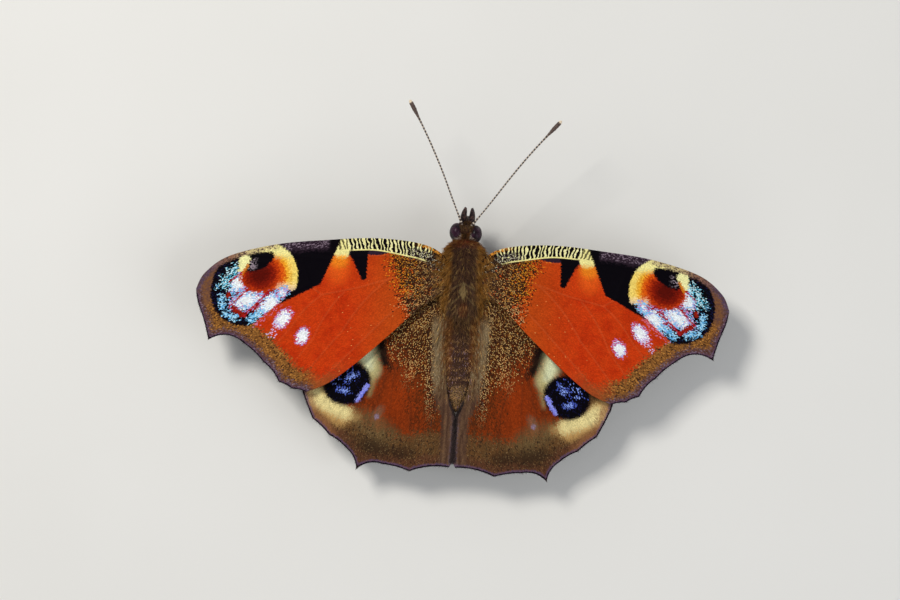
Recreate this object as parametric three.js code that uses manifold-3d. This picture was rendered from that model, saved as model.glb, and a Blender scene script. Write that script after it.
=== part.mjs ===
// A peacock butterfly at life size, standing with its wings spread flat.
// Millimetres, +Z up. The head points along -Y, so the animal's left side is +X.
import * as THREE from "three";
import { mergeVertices } from "three/addons/utils/BufferGeometryUtils.js";
import Module from "manifold-3d";

const wasm = await Module();
wasm.setup();

// Driving dimensions, worked out for a butterfly 60 mm across the wings.
const GAP = 0.3; // clearance between neighbouring pieces
const MEMBRANE = 0.5; // wing thickness between the veins
const RIDGE = 0.17; // how far a vein stands out of each face of the wing
const VEIN_HALF_WIDTH = 0.36; // from the crest of a vein to its foot
const WING_STEP_DOWN = 1.25; // how far the hindwing lies under the forewing
const ROOT_Z = 8.0; // height of the forewing's middle surface at its root
const ROOT_X = 2.0; // the wing outlines start inside the thorax and are cut by it
const HEAD_TURN = -0.09; // radians: the head looks slightly to the animal's right
const REAR_TURN = -0.025; // radians: the abdomen and the hindwings lie slightly to the left
const REAR_PIVOT_Y = 3.5;

const colours = {
  red: 0xb03a14,
  redBrown: 0x7c3514,
  brown: 0x4a2c18,
  darkBrown: 0x2c1c16,
  eye: 0x1d1216,
  horn: 0x2a1d17,
};

function finish(colour, roughness) {
  return new THREE.MeshStandardMaterial({ color: colour, roughness, metalness: 0 });
}

// Solids: closed geometry goes in, and cut or joined geometry comes out.
function solidOf(geometry) {
  const bare = geometry.clone();
  bare.deleteAttribute("normal");
  bare.deleteAttribute("uv");
  const merged = mergeVertices(bare, 1e-4);
  return new wasm.Manifold(
    new wasm.Mesh({
      numProp: 3,
      vertProperties: new Float32Array(merged.attributes.position.array),
      triVerts: new Uint32Array(merged.index.array),
    }),
  );
}

function geometryOf(solid) {
  const pieces = solid.decompose();
  pieces.sort((a, b) => b.volume() - a.volume());
  const mesh = pieces[0].getMesh();
  const geometry = new THREE.BufferGeometry();
  geometry.setAttribute("position", new THREE.BufferAttribute(new Float32Array(mesh.vertProperties), 3));
  geometry.setIndex(new THREE.BufferAttribute(new Uint32Array(mesh.triVerts), 1));
  return geometry;
}

function node(name, solid, material) {
  const mesh = new THREE.Mesh(geometryOf(solid), material);
  mesh.name = name;
  return mesh;
}

function mirrored(geometry) {
  const flipped = geometry.clone().scale(-1, 1, 1);
  const index = flipped.index.array;
  for (let i = 0; i < index.length; i += 3) {
    [index[i + 1], index[i + 2]] = [index[i + 2], index[i + 1]];
  }
  return flipped;
}

function turnedAbout(geometry, angle, x, y) {
  return geometry.clone().translate(-x, -y, 0).rotateZ(angle).translate(x, y, 0);
}

// A body section through stations of [y, half width, half height, height of its centre].
// Its ends close on points. Growing it gives the space that its neighbours keep clear of.
function bodySection(stations, sides, rows, grow = 0, shrinkRing = () => 1) {
  const middle = (stations[0][0] + stations[stations.length - 1][0]) / 2;
  const lengths = stations.map(([y]) => new THREE.Vector2(y + Math.sign(y - middle) * grow, 0));
  const along = new THREE.SplineCurve(lengths);
  const wide = new THREE.SplineCurve(stations.map(([, w, h]) => new THREE.Vector2(w, h)));
  const high = new THREE.SplineCurve(stations.map(([, , , z]) => new THREE.Vector2(z, 0)));
  const ball = new THREE.SphereGeometry(1, sides, rows).rotateX(-Math.PI / 2).rotateY(Math.PI / sides);
  ball.deleteAttribute("normal");
  ball.deleteAttribute("uv");
  const geometry = mergeVertices(ball, 1e-4);
  const place = geometry.attributes.position;
  for (let i = 0; i < place.count; i++) {
    const v = new THREE.Vector3().fromBufferAttribute(place, i);
    const share = 1 - Math.acos(THREE.MathUtils.clamp(v.y, -1, 1)) / Math.PI;
    const ring = Math.hypot(v.x, v.z);
    const size = wide.getPoint(share);
    const y = along.getPoint(share).x;
    const thin = shrinkRing(y);
    const open = ring < 1e-3 ? 0 : 1 / ring;
    place.setXYZ(
      i,
      v.x * open * (Math.max(size.x, 0.02) * thin + grow),
      y,
      high.getPoint(share).x + v.z * open * (Math.max(size.y, 0.02) * thin + grow),
    );
  }
  return geometry;
}

// A tapered limb along a smooth curve: a capped cylinder bent onto the curve.
function limb(points, radiusAt, sides, steps, flatness = 1) {
  const places = points.map((p) => new THREE.Vector3(...p));
  const curve = new THREE.CatmullRomCurve3(places, false, "catmullrom", 0.35);
  const frames = curve.computeFrenetFrames(steps, false);
  const rod = new THREE.CylinderGeometry(1, 1, 1, sides, steps);
  rod.deleteAttribute("normal");
  rod.deleteAttribute("uv");
  const geometry = mergeVertices(rod, 1e-4);
  const place = geometry.attributes.position;
  for (let i = 0; i < place.count; i++) {
    const step = Math.round((place.getY(i) + 0.5) * steps);
    const share = step / steps;
    const radius = radiusAt(share);
    const centre = curve.getPointAt(share);
    const ring = Math.hypot(place.getX(i), place.getZ(i)) < 0.5 ? 0 : 1;
    const side = frames.normals[step].clone().multiplyScalar(-place.getX(i) * radius * ring);
    const up = frames.binormals[step].clone().multiplyScalar(place.getZ(i) * radius * flatness * ring);
    centre.add(side).add(up);
    place.setXYZ(i, centre.x, centre.y, centre.z);
  }
  return geometry;
}

function outwardSolid(geometry) {
  const solid = solidOf(geometry);
  if (solid.volume() > 0) return solid;
  const index = geometry.index.array;
  for (let i = 0; i < index.length; i += 3) {
    [index[i + 1], index[i + 2]] = [index[i + 2], index[i + 1]];
  }
  return solidOf(geometry);
}

// The surface that both wings lie in: it droops outwards and towards the tail.
const DROOP = 0.045;
const DROOP_CURVE = 0.0013;
const TAIL_DROOP = 0.0042;
function wingHeight(x, y) {
  const reach = Math.abs(x) - ROOT_X;
  return ROOT_Z - DROOP * reach - DROOP_CURVE * reach * reach - TAIL_DROOP * Math.max(y, 0) ** 2;
}

// Plans of the wings: x outwards from the mid-line, y towards the tail.
// Each margin point is the tip of a vein, with the dip of the scallop that follows it.
// A vein is a list of [share of the way out, share of the way across from the costa].
const foreWing = {
  drop: 0,
  root: [[ROOT_X, -3.5], [ROOT_X, 0.1]],
  costa: [
    [ROOT_X, -3.5],
    [3.6, -4.55],
    [6.2, -5.15],
    [10.4, -5.35],
    [15.1, -4.97],
    [20.9, -4.2],
    [26.2, -2.5],
    [28.9, -0.6],
    [29.9, 1.1],
  ],
  inner: [[ROOT_X, 0.1], [4.4, 1.8], [7.5, 4.85], [11.3, 8.4], [14.6, 11.0], [17.1, 12.15]],
  margin: [
    { tip: "apex", at: [29.9, 1.1], dip: -0.12 },
    { tip: "R5", at: [29.25, 3.6], dip: 0.06 },
    { tip: "M1", at: [28.3, 6.75], dip: 0.75 },
    { tip: "M2", at: [24.2, 7.05], dip: 0.12 },
    { tip: "M3", at: [22.0, 9.0], dip: 0.2 },
    { tip: "CuA1", at: [20.2, 11.15], dip: 0.1 },
    { tip: "CuA2", at: [18.7, 11.85], dip: 0.1 },
    { tip: "tornus", at: [17.1, 12.15], dip: 0 },
  ],
  rows: [0, 0.07, 0.14, 0.21, 0.28, 0.35, 0.42, 0.49, 0.535, 0.56, 0.585, 0.64, 0.72, 0.8, 0.88, 0.95, 1],
  cellEnd: { row: 0.56, from: "R", to: "Cu" },
  stems: {
    Sc: [[0, 0.1], [0.3, 0.045], [0.54, 0]],
    R: [[0, 0.26], [0.2, 0.19], [0.56, 0.125], [0.8, 0.15]],
    Cu: [[0, 0.44], [0.2, 0.5], [0.4, 0.49], [0.56, 0.44]],
    A2: [[0, 0.74], [0.5, 0.88], [0.92, 0.965]],
  },
  branches: {
    R1: [[0.36, 0.15], [0.55, 0.05], [0.68, 0]],
    R2: [[0.48, 0.13], [0.68, 0.06], [0.82, 0]],
    R3: [[0.64, 0.11], [0.82, 0.055], [0.94, 0]],
    R5: [[0.8, 0.15], ["R5"]],
    M1: [[0.56, 0.19], [0.8, 0.25], ["M1"]],
    M2: [[0.56, 0.29], [0.8, 0.42], ["M2"]],
    M3: [[0.56, 0.44], [0.8, 0.6], ["M3"]],
    CuA1: [[0.48, 0.49], [0.75, 0.72], ["CuA1"]],
    CuA2: [[0.28, 0.51], [0.6, 0.76], ["CuA2"]],
  },
};

const hindWing = {
  drop: WING_STEP_DOWN,
  root: [[ROOT_X, -0.2], [ROOT_X - 0.3, 3.4]],
  costa: [[ROOT_X, -0.2], [5.5, 0.1], [10.5, 1.9], [14.8, 5.6], [16.9, 8.6], [17.6, 10.4]],
  inner: [[ROOT_X - 0.3, 3.4], [1.5, 7], [1.2, 11], [0.45, 14.4], [0.28, 17], [0.3, 19.2], [0.65, 19.95]],
  margin: [
    { tip: "apex", at: [17.6, 10.4], dip: -0.1 },
    { tip: "Rs", at: [17.35, 12.4], dip: -0.05 },
    { tip: "M1", at: [16.0, 15.5], dip: 0.08 },
    { tip: "M2", at: [14.0, 17.25], dip: 0.12 },
    { tip: "bay", at: [12.0, 18.6], dip: 0.3 },
    { tip: "M3", at: [10.75, 20.9], dip: 0.42 },
    { tip: "CuA1", at: [7.9, 20.1], dip: 0.12 },
    { tip: "CuA2", at: [4.8, 20.72], dip: 0.3 },
    { tip: "anal", at: [0.65, 19.95], dip: 0 },
  ],
  rows: [0, 0.08, 0.16, 0.24, 0.32, 0.4, 0.46, 0.485, 0.51, 0.58, 0.66, 0.74, 0.82, 0.9, 0.96, 1],
  cellEnd: { row: 0.485, from: "R", to: "Cu" },
  stems: {
    Sc: [[0, 0.2], [0.4, 0.09], [0.97, 0.012]],
    R: [[0, 0.36], [0.3, 0.26], [0.485, 0.24]],
    Cu: [[0, 0.52], [0.3, 0.55], [0.485, 0.52]],
    A2: [[0, 0.74], [0.4, 0.84], [0.7, 0.88], [0.95, 0.93]],
  },
  branches: {
    Rs: [[0.36, 0.2], [0.7, 0.12], ["Rs"]],
    M1: [[0.485, 0.27], [0.75, 0.26], ["M1"]],
    M2: [[0.485, 0.35], [0.75, 0.35], ["M2"]],
    M3: [[0.485, 0.47], [0.75, 0.5], ["M3"]],
    CuA1: [[0.46, 0.53], [0.75, 0.62], ["CuA1"]],
    CuA2: [[0.32, 0.56], [0.65, 0.72], ["CuA2"]],
  },
};

// Where along the margin, from 0 at the apex to 1 at the inner end, each vein tip lies.
function marginShares(margin) {
  const shares = [0];
  for (let k = 1; k < margin.length; k++) {
    const [a, b] = [margin[k - 1].at, margin[k].at];
    shares.push(shares[k - 1] + Math.hypot(b[0] - a[0], b[1] - a[1]));
  }
  return shares.map((s) => s / shares[shares.length - 1]);
}

// A Coons patch over the four edges. The scallops fade out away from the margin.
function wingPatch(plan) {
  const curve = (points) => new THREE.SplineCurve(points.map((p) => new THREE.Vector2(...p)));
  const [costa, inner] = [curve(plan.costa), curve(plan.inner)];
  const [rootFront, rootBack] = plan.root.map((p) => new THREE.Vector2(...p));
  const shares = marginShares(plan.margin);
  const apex = new THREE.Vector2(...plan.margin[0].at);
  const end = new THREE.Vector2(...plan.margin[plan.margin.length - 1].at);

  function marginPoint(across, scallop) {
    let k = 0;
    while (k < shares.length - 2 && across > shares[k + 1]) k++;
    const u = (across - shares[k]) / (shares[k + 1] - shares[k]);
    const a = new THREE.Vector2(...plan.margin[k].at);
    const b = new THREE.Vector2(...plan.margin[k + 1].at);
    const inwards = new THREE.Vector2(a.y - b.y, b.x - a.x).normalize().negate();
    if (inwards.dot(rootFront.clone().sub(a)) < 0) inwards.negate();
    return a.lerp(b, u).addScaledVector(inwards, plan.margin[k].dip * 4 * u * (1 - u) * scallop);
  }

  return (out, across) => {
    const p = new THREE.Vector2();
    p.addScaledVector(costa.getPointAt(out), 1 - across);
    p.addScaledVector(inner.getPointAt(out), across);
    p.addScaledVector(rootFront.clone().lerp(rootBack, across), 1 - out);
    p.addScaledVector(marginPoint(across, out ** 12), out);
    p.addScaledVector(rootFront, -(1 - out) * (1 - across));
    p.addScaledVector(rootBack, -(1 - out) * across);
    p.addScaledVector(apex, -out * (1 - across));
    p.addScaledVector(end, -out * across);
    return p;
  };
}

// How far across a vein lies at a share of the way out, or null where it doesn't run.
function veinAcross(knots, out) {
  if (out < knots[0][0] - 1e-9 || out > knots[knots.length - 1][0] + 1e-9) return null;
  let k = 0;
  while (k < knots.length - 2 && out > knots[k + 1][0]) k++;
  const [a, b] = [knots[k], knots[k + 1]];
  return THREE.MathUtils.lerp(a[1], b[1], THREE.MathUtils.clamp((out - a[0]) / (b[0] - a[0]), 0, 1));
}

// One row of points across a wing: the edges, the crest and feet of each vein that is clear
// of its neighbours there, and a point half way over any broad stretch of membrane.
function wingRow(plan, patch, out, knotsOf) {
  const left = patch(out, 0);
  const right = patch(out, 1);
  const breadth = left.distanceTo(right);
  const foot = VEIN_HALF_WIDTH / breadth;
  const taken = [];
  for (const [name, knots] of Object.entries(knotsOf)) {
    const across = veinAcross(knots, out);
    if (across === null) continue;
    const clearOfEdges = across > 1.4 * foot && across < 1 - 1.4 * foot;
    const clearOfVeins = taken.every((v) => Math.abs(v.across - across) > 2.3 * foot);
    if (clearOfEdges && clearOfVeins) taken.push({ name, across });
  }
  taken.sort((a, b) => a.across - b.across);
  const points = [{ id: "costa", across: 0, rise: RIDGE * 0.6 }];
  for (const { name, across } of taken) {
    points.push({ id: name + "-", across: across - foot, rise: 0 });
    points.push({ id: name, across, rise: RIDGE });
    points.push({ id: name + "+", across: across + foot, rise: 0 });
  }
  points.push({ id: "inner", across: 1, rise: 0 });
  const { row, from, to } = plan.cellEnd;
  if (Math.abs(out - row) < 1e-9) {
    const [a, b] = [from, to].map((name) => points.find((p) => p.id === name).across);
    for (const p of points) if (p.across >= a && p.across <= b) p.rise = RIDGE;
  }
  if (out === 1) addMarginPoints(plan, points);
  points.forEach((p) => (p.at = patch(out, p.across)));
  return points;
}

// The last row takes the vein tips and two points in each scallop between them.
function addMarginPoints(plan, points) {
  const shares = marginShares(plan.margin);
  points.splice(1, points.length - 2);
  for (let k = 0; k < shares.length - 1; k++) {
    const name = plan.margin[k].tip;
    if (k > 0) points.splice(-1, 0, { id: name, across: shares[k], rise: RIDGE * 0.5 });
    for (const u of [0.25, 0.5, 0.75]) {
      const across = THREE.MathUtils.lerp(shares[k], shares[k + 1], u);
      points.splice(-1, 0, { id: name + u, across, rise: 0 });
    }
  }
}

// Joins two rows with triangles. Points that both rows name are always joined by an edge,
// so a crest stays a crest, and a vein may start or end between them.
function stitchRows(a, b, triangles) {
  const shared = a.filter((p) => b.some((q) => q.id === p.id)).map((p) => p.id);
  const place = (row, id) => row.findIndex((p) => p.id === id);
  for (let s = 0; s < shared.length - 1; s++) {
    let [i, j] = [place(a, shared[s]), place(b, shared[s])];
    const [iEnd, jEnd] = [place(a, shared[s + 1]), place(b, shared[s + 1])];
    while (i < iEnd || j < jEnd) {
      const stepA = i < iEnd ? a[i + 1].at.distanceTo(b[j].at) : Infinity;
      const stepB = j < jEnd ? a[i].at.distanceTo(b[j + 1].at) : Infinity;
      if (stepA <= stepB) {
        triangles.push([a[i], b[j], a[i + 1]]);
        i++;
      } else {
        triangles.push([a[i], b[j], b[j + 1]]);
        j++;
      }
    }
  }
}

// A whole left wing: the same triangles on its upper and lower face, and a wall all round.
function wingGeometry(plan) {
  const patch = wingPatch(plan);
  const shares = marginShares(plan.margin);
  const knotsOf = Object.fromEntries(
    Object.entries({ ...plan.stems, ...plan.branches }).map(([name, knots]) => {
      const tip = plan.margin.findIndex((m) => m.tip === knots[knots.length - 1][0]);
      return [name, knots.map((k) => (k.length === 1 ? [1, shares[tip]] : k))];
    }),
  );
  const rows = plan.rows.map((out) => wingRow(plan, patch, out, knotsOf));
  const triangles = [];
  for (let r = 0; r < rows.length - 1; r++) stitchRows(rows[r], rows[r + 1], triangles);

  const all = rows.flat();
  all.forEach((p, i) => (p.index = i));
  const positions = [];
  for (const side of [1, -1]) {
    for (const p of all) {
      const z = wingHeight(p.at.x, p.at.y) - plan.drop + side * (MEMBRANE / 2 + p.rise);
      positions.push(p.at.x, p.at.y, z);
    }
  }
  const count = all.length;
  const index = [];
  for (const [p, q, r] of triangles) {
    index.push(p.index, q.index, r.index);
    index.push(p.index + count, r.index + count, q.index + count);
  }
  const rim = [
    ...rows[0],
    ...rows.slice(1).map((row) => row[row.length - 1]),
    ...rows[rows.length - 1].slice(0, -1).reverse(),
    ...rows.slice(1, -1).reverse().map((row) => row[0]),
  ].map((p) => p.index);
  rim.forEach((p, k) => {
    const q = rim[(k + 1) % rim.length];
    index.push(p, q, p + count, q, q + count, p + count);
  });
  const geometry = new THREE.BufferGeometry();
  geometry.setAttribute("position", new THREE.BufferAttribute(new Float32Array(positions), 3));
  geometry.setIndex(index);
  return geometry;
}

// Body stations: [y, half width, half height, height of the centre].
const thoraxStations = [
  [-5.75, 0.25, 0.3, 6.1],
  [-5.35, 1.5, 1.35, 6.2],
  [-4.2, 2.25, 2.1, 6.45],
  [-2.4, 2.7, 2.55, 6.5],
  [-0.2, 2.7, 2.5, 6.4],
  [1.8, 2.35, 2.15, 6.2],
  [3.0, 1.75, 1.6, 6.1],
  [3.4, 0.3, 0.3, 6.1],
];
const abdomenStations = [
  [3.7, 0.3, 0.3, 6.05],
  [3.95, 1.25, 1.2, 6.0],
  [5.2, 1.85, 1.65, 5.95],
  [7.4, 1.95, 1.75, 5.75],
  [9.8, 1.75, 1.6, 5.5],
  [12.0, 1.3, 1.25, 5.2],
  [13.6, 0.75, 0.75, 4.95],
  [14.25, 0.12, 0.12, 4.85],
];
const headStations = [
  [-7.85, 0.2, 0.25, 5.9],
  [-7.6, 0.8, 0.8, 5.95],
  [-6.9, 1.15, 1.15, 6.05],
  [-6.3, 1.1, 1.1, 6.1],
  [-6.05, 0.2, 0.3, 6.1],
];
const RING_COUNT = 8;
const RING_DEPTH = 0.07;

// The abdomen narrows slightly at the joint of each ring.
function abdomenRings(y) {
  const share = (y - 3.7) / (14.25 - 3.7);
  const phase = (share * RING_COUNT) % 1;
  return 1 - RING_DEPTH * Math.max(0, 1 - 4 * Math.min(phase, 1 - phase));
}

const thoraxShape = (grow) => bodySection(thoraxStations, 20, 14, grow);
function abdomenShape(grow) {
  const straight = bodySection(abdomenStations, 16, grow ? 14 : 32, grow, grow ? undefined : abdomenRings);
  return turnedAbout(straight, REAR_TURN, 0, REAR_PIVOT_Y);
}
const headShape = (grow) => bodySection(headStations, 16, 10, grow);

// Compound eyes: domes with flat backs, one on each side of the head.
const EYE = { x: 0.72, y: -6.5, z: 6.15, radii: [1.1, 1.12, 1.25], back: 0.95 };
function slabFrom(x, width) {
  return solidOf(new THREE.BoxGeometry(width, 20, 20).translate(x + width / 2, -6, 6));
}
function eyeSolid(side) {
  const ball = new THREE.SphereGeometry(1, 16, 12).scale(...EYE.radii).translate(EYE.x, EYE.y, EYE.z);
  const dome = geometryOf(solidOf(ball).intersect(slabFrom(EYE.back, 5)));
  return solidOf(side > 0 ? dome : mirrored(dome));
}
function headSolid() {
  const halfWidth = EYE.back - GAP;
  const between = solidOf(new THREE.BoxGeometry(2 * halfWidth, 20, 20).translate(0, -6, 6));
  return outwardSolid(headShape(0)).intersect(between);
}

// Labial palps: a pair of short horns that sweep forwards and up from under the face.
const PALP = { radius: 0.3, tip: 0.12 };
function palpGeometry(side) {
  const points = [
    [0.5, -7.1, 5.35],
    [0.47, -7.8, 5.45],
    [0.46, -8.5, 5.8],
    [0.36, -9.25, 6.35],
  ].map(([x, y, z]) => [side * x, y, z]);
  return limb(points, (u) => THREE.MathUtils.lerp(PALP.radius, PALP.tip, u ** 2), 8, 7);
}

// The tongue is rolled up like a watch spring under the face.
const TONGUE = { turns: 1.35, inner: 0.42, outer: 0.95, y: -7.35, z: 3.95, radius: 0.25 };
function tongueGeometry() {
  const points = [];
  const steps = 22;
  for (let i = 0; i <= steps; i++) {
    const u = i / steps;
    const angle = Math.PI / 2 + u * TONGUE.turns * 2 * Math.PI;
    const r = THREE.MathUtils.lerp(TONGUE.outer, TONGUE.inner - 0.25, u);
    points.push([0, TONGUE.y - Math.cos(angle) * r, TONGUE.z + Math.sin(angle) * r]);
  }
  points.unshift([0, TONGUE.y + 0.15, TONGUE.z + TONGUE.outer + 0.6]);
  return limb(points, (u) => THREE.MathUtils.lerp(TONGUE.radius, 0.17, u), 6, 26);
}

// Antennae: thin rods that swell into a club at the tip. The left one is held closer in.
const ANTENNA = { rod: 0.25, club: 0.42, clubShare: 0.14 };
const antennaPaths = {
  left: [
    [0.5, -7.2, 6.75],
    [1.8, -9.6, 7.45],
    [3.65, -13.1, 8.6],
    [5.75, -16.6, 9.75],
    [8.1, -20.1, 10.85],
  ],
  right: [
    [-0.5, -7.2, 6.75],
    [-2.1, -9.7, 7.5],
    [-4.45, -13.6, 8.75],
    [-6.35, -16.5, 9.7],
    [-8.9, -20.0, 10.8],
  ],
};
function antennaRadius(u) {
  const swell = THREE.MathUtils.smoothstep(u, 1 - ANTENNA.clubShare, 1 - ANTENNA.clubShare * 0.45);
  const tip = THREE.MathUtils.smoothstep(u, 1 - ANTENNA.clubShare * 0.22, 1);
  return THREE.MathUtils.lerp(ANTENNA.rod, ANTENNA.club, swell) * (1 - 0.55 * tip);
}

// Legs. A walking leg has a thigh, a shin and a foot that lies along the ground.
const LEG = { thigh: 0.42, shin: 0.3, foot: 0.27, drop: 0.22 };
const FOOT_Z = LEG.drop; // the foot's centre line, so that its underside is cut flat at 0
const legPaths = {
  midleg: [
    [1.2, -1.6, 5.0],
    [2.5, -2.0, 4.1],
    [4.4, -2.6, 4.3],
    [5.4, -2.9, 3.0],
    [6.5, -3.4, 1.0],
    [7.1, -3.7, FOOT_Z],
    [9.0, -4.3, FOOT_Z],
  ],
  hindleg: [
    [1.1, 1.2, 5.0],
    [2.2, 2.6, 4.0],
    [3.8, 4.6, 4.1],
    [4.6, 5.7, 2.9],
    [5.5, 7.2, 1.0],
    [6.1, 8.0, FOOT_Z],
    [7.3, 9.6, FOOT_Z],
  ],
};
function legRadius(u) {
  if (u < 0.45) return THREE.MathUtils.lerp(LEG.thigh, LEG.thigh * 0.85, u / 0.45);
  if (u < 0.72) return THREE.MathUtils.lerp(LEG.shin, LEG.foot, (u - 0.45) / 0.27);
  return LEG.foot;
}
function walkingLeg(points, side) {
  const path = points.map(([x, y, z]) => [side * x, y, z]);
  const ground = solidOf(new THREE.BoxGeometry(60, 60, 4).translate(0, 0, -2));
  return outwardSolid(limb(path, legRadius, 8, 26)).subtract(ground);
}

// The forelegs are small brushes, folded against the breast.
function foreLeg(side) {
  const points = [
    [0.85, -3.9, 4.9],
    [1.15, -4.9, 3.7],
    [1.0, -5.6, 3.2],
    [0.85, -4.9, 2.75],
    [0.8, -3.6, 2.65],
  ].map(([x, y, z]) => [side * x, y, z]);
  return outwardSolid(limb(points, (u) => THREE.MathUtils.lerp(0.33, 0.22, u), 7, 14));
}

// Assembly: each piece is cut back from what it grows out of, and keeps the gap to it.
const thorax = outwardSolid(thoraxShape(0));
const thoraxSpace = outwardSolid(thoraxShape(GAP));
const abdomenSpace = outwardSolid(abdomenShape(GAP));
const headSpace = outwardSolid(headShape(GAP));
const bodySpace = thoraxSpace.add(abdomenSpace);

const butterfly = new THREE.Group();
butterfly.add(node("thorax", thorax, finish(colours.redBrown, 0.95)));
const abdomen = outwardSolid(abdomenShape(0)).subtract(thoraxSpace);
butterfly.add(node("abdomen", abdomen, finish(colours.brown, 0.9)));

const head = new THREE.Group();
const HEAD_PIVOT = new THREE.Vector3(0, -6, 0);
head.position.copy(HEAD_PIVOT);
head.rotation.z = HEAD_TURN;
function addToHead(name, solid, material) {
  const mesh = node(name, solid, material);
  mesh.geometry.translate(-HEAD_PIVOT.x, -HEAD_PIVOT.y, -HEAD_PIVOT.z);
  head.add(mesh);
}
const turnedThoraxSpace = solidOf(turnedAbout(thoraxShape(GAP), -HEAD_TURN, HEAD_PIVOT.x, HEAD_PIVOT.y));
addToHead("head", headSolid().subtract(turnedThoraxSpace), finish(colours.redBrown, 0.95));
for (const [side, name] of [[1, "left"], [-1, "right"]]) {
  addToHead("eye_" + name, eyeSolid(side).subtract(turnedThoraxSpace), finish(colours.eye, 0.25));
  const palp = outwardSolid(palpGeometry(side));
  addToHead("palp_" + name, palp.subtract(headSpace), finish(colours.darkBrown, 0.9));
  const rod = outwardSolid(limb(antennaPaths[name], antennaRadius, 8, 26));
  addToHead("antenna_" + name, rod.subtract(headSpace), finish(colours.horn, 0.6));
}
addToHead("proboscis", outwardSolid(tongueGeometry()).subtract(headSpace), finish(colours.horn, 0.5));
butterfly.add(head);

const wingFinish = finish(colours.red, 0.75);
for (const [wing, plan, turn] of [["forewing", foreWing, 0], ["hindwing", hindWing, REAR_TURN]]) {
  const left = wingGeometry(plan);
  for (const [side, geometry] of [["left", left], ["right", mirrored(left)]]) {
    const placed = outwardSolid(turnedAbout(geometry, turn, 0, REAR_PIVOT_Y));
    butterfly.add(node(wing + "_" + side, placed.subtract(bodySpace), wingFinish));
  }
}

const legFinish = finish(colours.darkBrown, 0.8);
for (const [side, name] of [[1, "left"], [-1, "right"]]) {
  butterfly.add(node("foreleg_" + name, foreLeg(side).subtract(thoraxSpace), legFinish));
  for (const pair of ["midleg", "hindleg"]) {
    const leg = walkingLeg(legPaths[pair], side).subtract(thoraxSpace);
    butterfly.add(node(pair + "_" + name, leg, legFinish));
  }
}

// The origin is on the ground, under the middle of the whole animal.
butterfly.updateMatrixWorld(true);
const box = new THREE.Box3().setFromObject(butterfly, true);
const middle = box.getCenter(new THREE.Vector3());
butterfly.position.set(-middle.x, -middle.y, -box.min.z);

export default butterfly;
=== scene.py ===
# %% [markdown]
# # A peacock butterfly at life size
# The butterfly stands with its wings spread flat, and the camera looks straight down on it.
# The solids of every body part are loaded first, as a fixed frame. The cells below dress them:
# thin veined wings painted scale by scale, a furred body, faceted eyes, ringed feelers and
# spined legs. Sizes are written in millimetres and turned into metres when a mesh is made.

# %% Load the frame
import math

import bpy
import numpy as np
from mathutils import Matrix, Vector


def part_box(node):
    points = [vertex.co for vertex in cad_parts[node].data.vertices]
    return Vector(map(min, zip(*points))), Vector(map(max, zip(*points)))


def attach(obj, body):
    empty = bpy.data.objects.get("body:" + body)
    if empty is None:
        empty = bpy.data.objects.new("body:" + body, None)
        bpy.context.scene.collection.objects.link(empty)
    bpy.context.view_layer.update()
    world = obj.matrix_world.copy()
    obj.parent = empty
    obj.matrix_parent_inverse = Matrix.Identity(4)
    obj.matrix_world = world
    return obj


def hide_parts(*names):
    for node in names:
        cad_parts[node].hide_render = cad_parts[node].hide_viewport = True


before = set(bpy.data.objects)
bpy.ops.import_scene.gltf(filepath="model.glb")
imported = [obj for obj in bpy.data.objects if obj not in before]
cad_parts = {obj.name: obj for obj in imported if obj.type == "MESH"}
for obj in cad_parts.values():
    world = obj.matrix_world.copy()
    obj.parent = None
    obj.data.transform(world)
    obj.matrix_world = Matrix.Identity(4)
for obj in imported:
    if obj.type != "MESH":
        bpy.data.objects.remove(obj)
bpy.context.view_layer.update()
MM = 0.001

# %% [markdown]
# ## One plan for everything
# The animal is drawn on a plan: x outwards from its mid-line, y towards the tail, in
# millimetres. The thorax starts at y = -5.75 on that plan, so its box says where the plan lies
# in the frame. The abdomen and hindwings are turned a little about a pivot behind the thorax.

# %% From the plan to the frame
THORAX_FRONT = -5.75
PLAN_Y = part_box("thorax")[0].y / MM - THORAX_FRONT
REAR_TURN = -0.025
REAR_PIVOT = 3.5
HEAD_TURN = -0.09
HEAD_PIVOT = -6.0


def turned(points, angle, pivot_y):
    """Points turned about an upright line through (0, pivot_y) on the plan."""
    out = np.array(points, float)
    x, y = out[..., 0].copy(), out[..., 1] - pivot_y
    out[..., 0] = x * math.cos(angle) - y * math.sin(angle)
    out[..., 1] = x * math.sin(angle) + y * math.cos(angle) + pivot_y
    return out


def placed(points, turn=0.0, pivot_y=0.0):
    """Plan points with heights, in millimetres, as metres in the frame."""
    out = turned(points, turn, pivot_y)
    out[..., 1] += PLAN_Y
    return out * MM


# %% [markdown]
# ## Floor, light and camera
# A plain pale floor and a studio of soft lamps suit a museum model. The camera hangs straight
# above the wings. It is rolled by 2.4 degrees, as the photograph was, and a long lens keeps the
# raised feelers and the lower wings at nearly one scale.

# %% Floor, light and camera
WING_SPAN = 60
SPAN_PIXELS = 532.0
PIXEL = WING_SPAN / SPAN_PIXELS
ROLL = math.radians(2.4)
AXIS_PIXEL = (463.0, 290.0)
FRAME_WIDTH, FRAME_HEIGHT = 900, 600
CAMERA_HEIGHT = 400.0
WING_LEVEL = 5.5
SENSOR = 36.0
LENS_TRIM = 1.006

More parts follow.
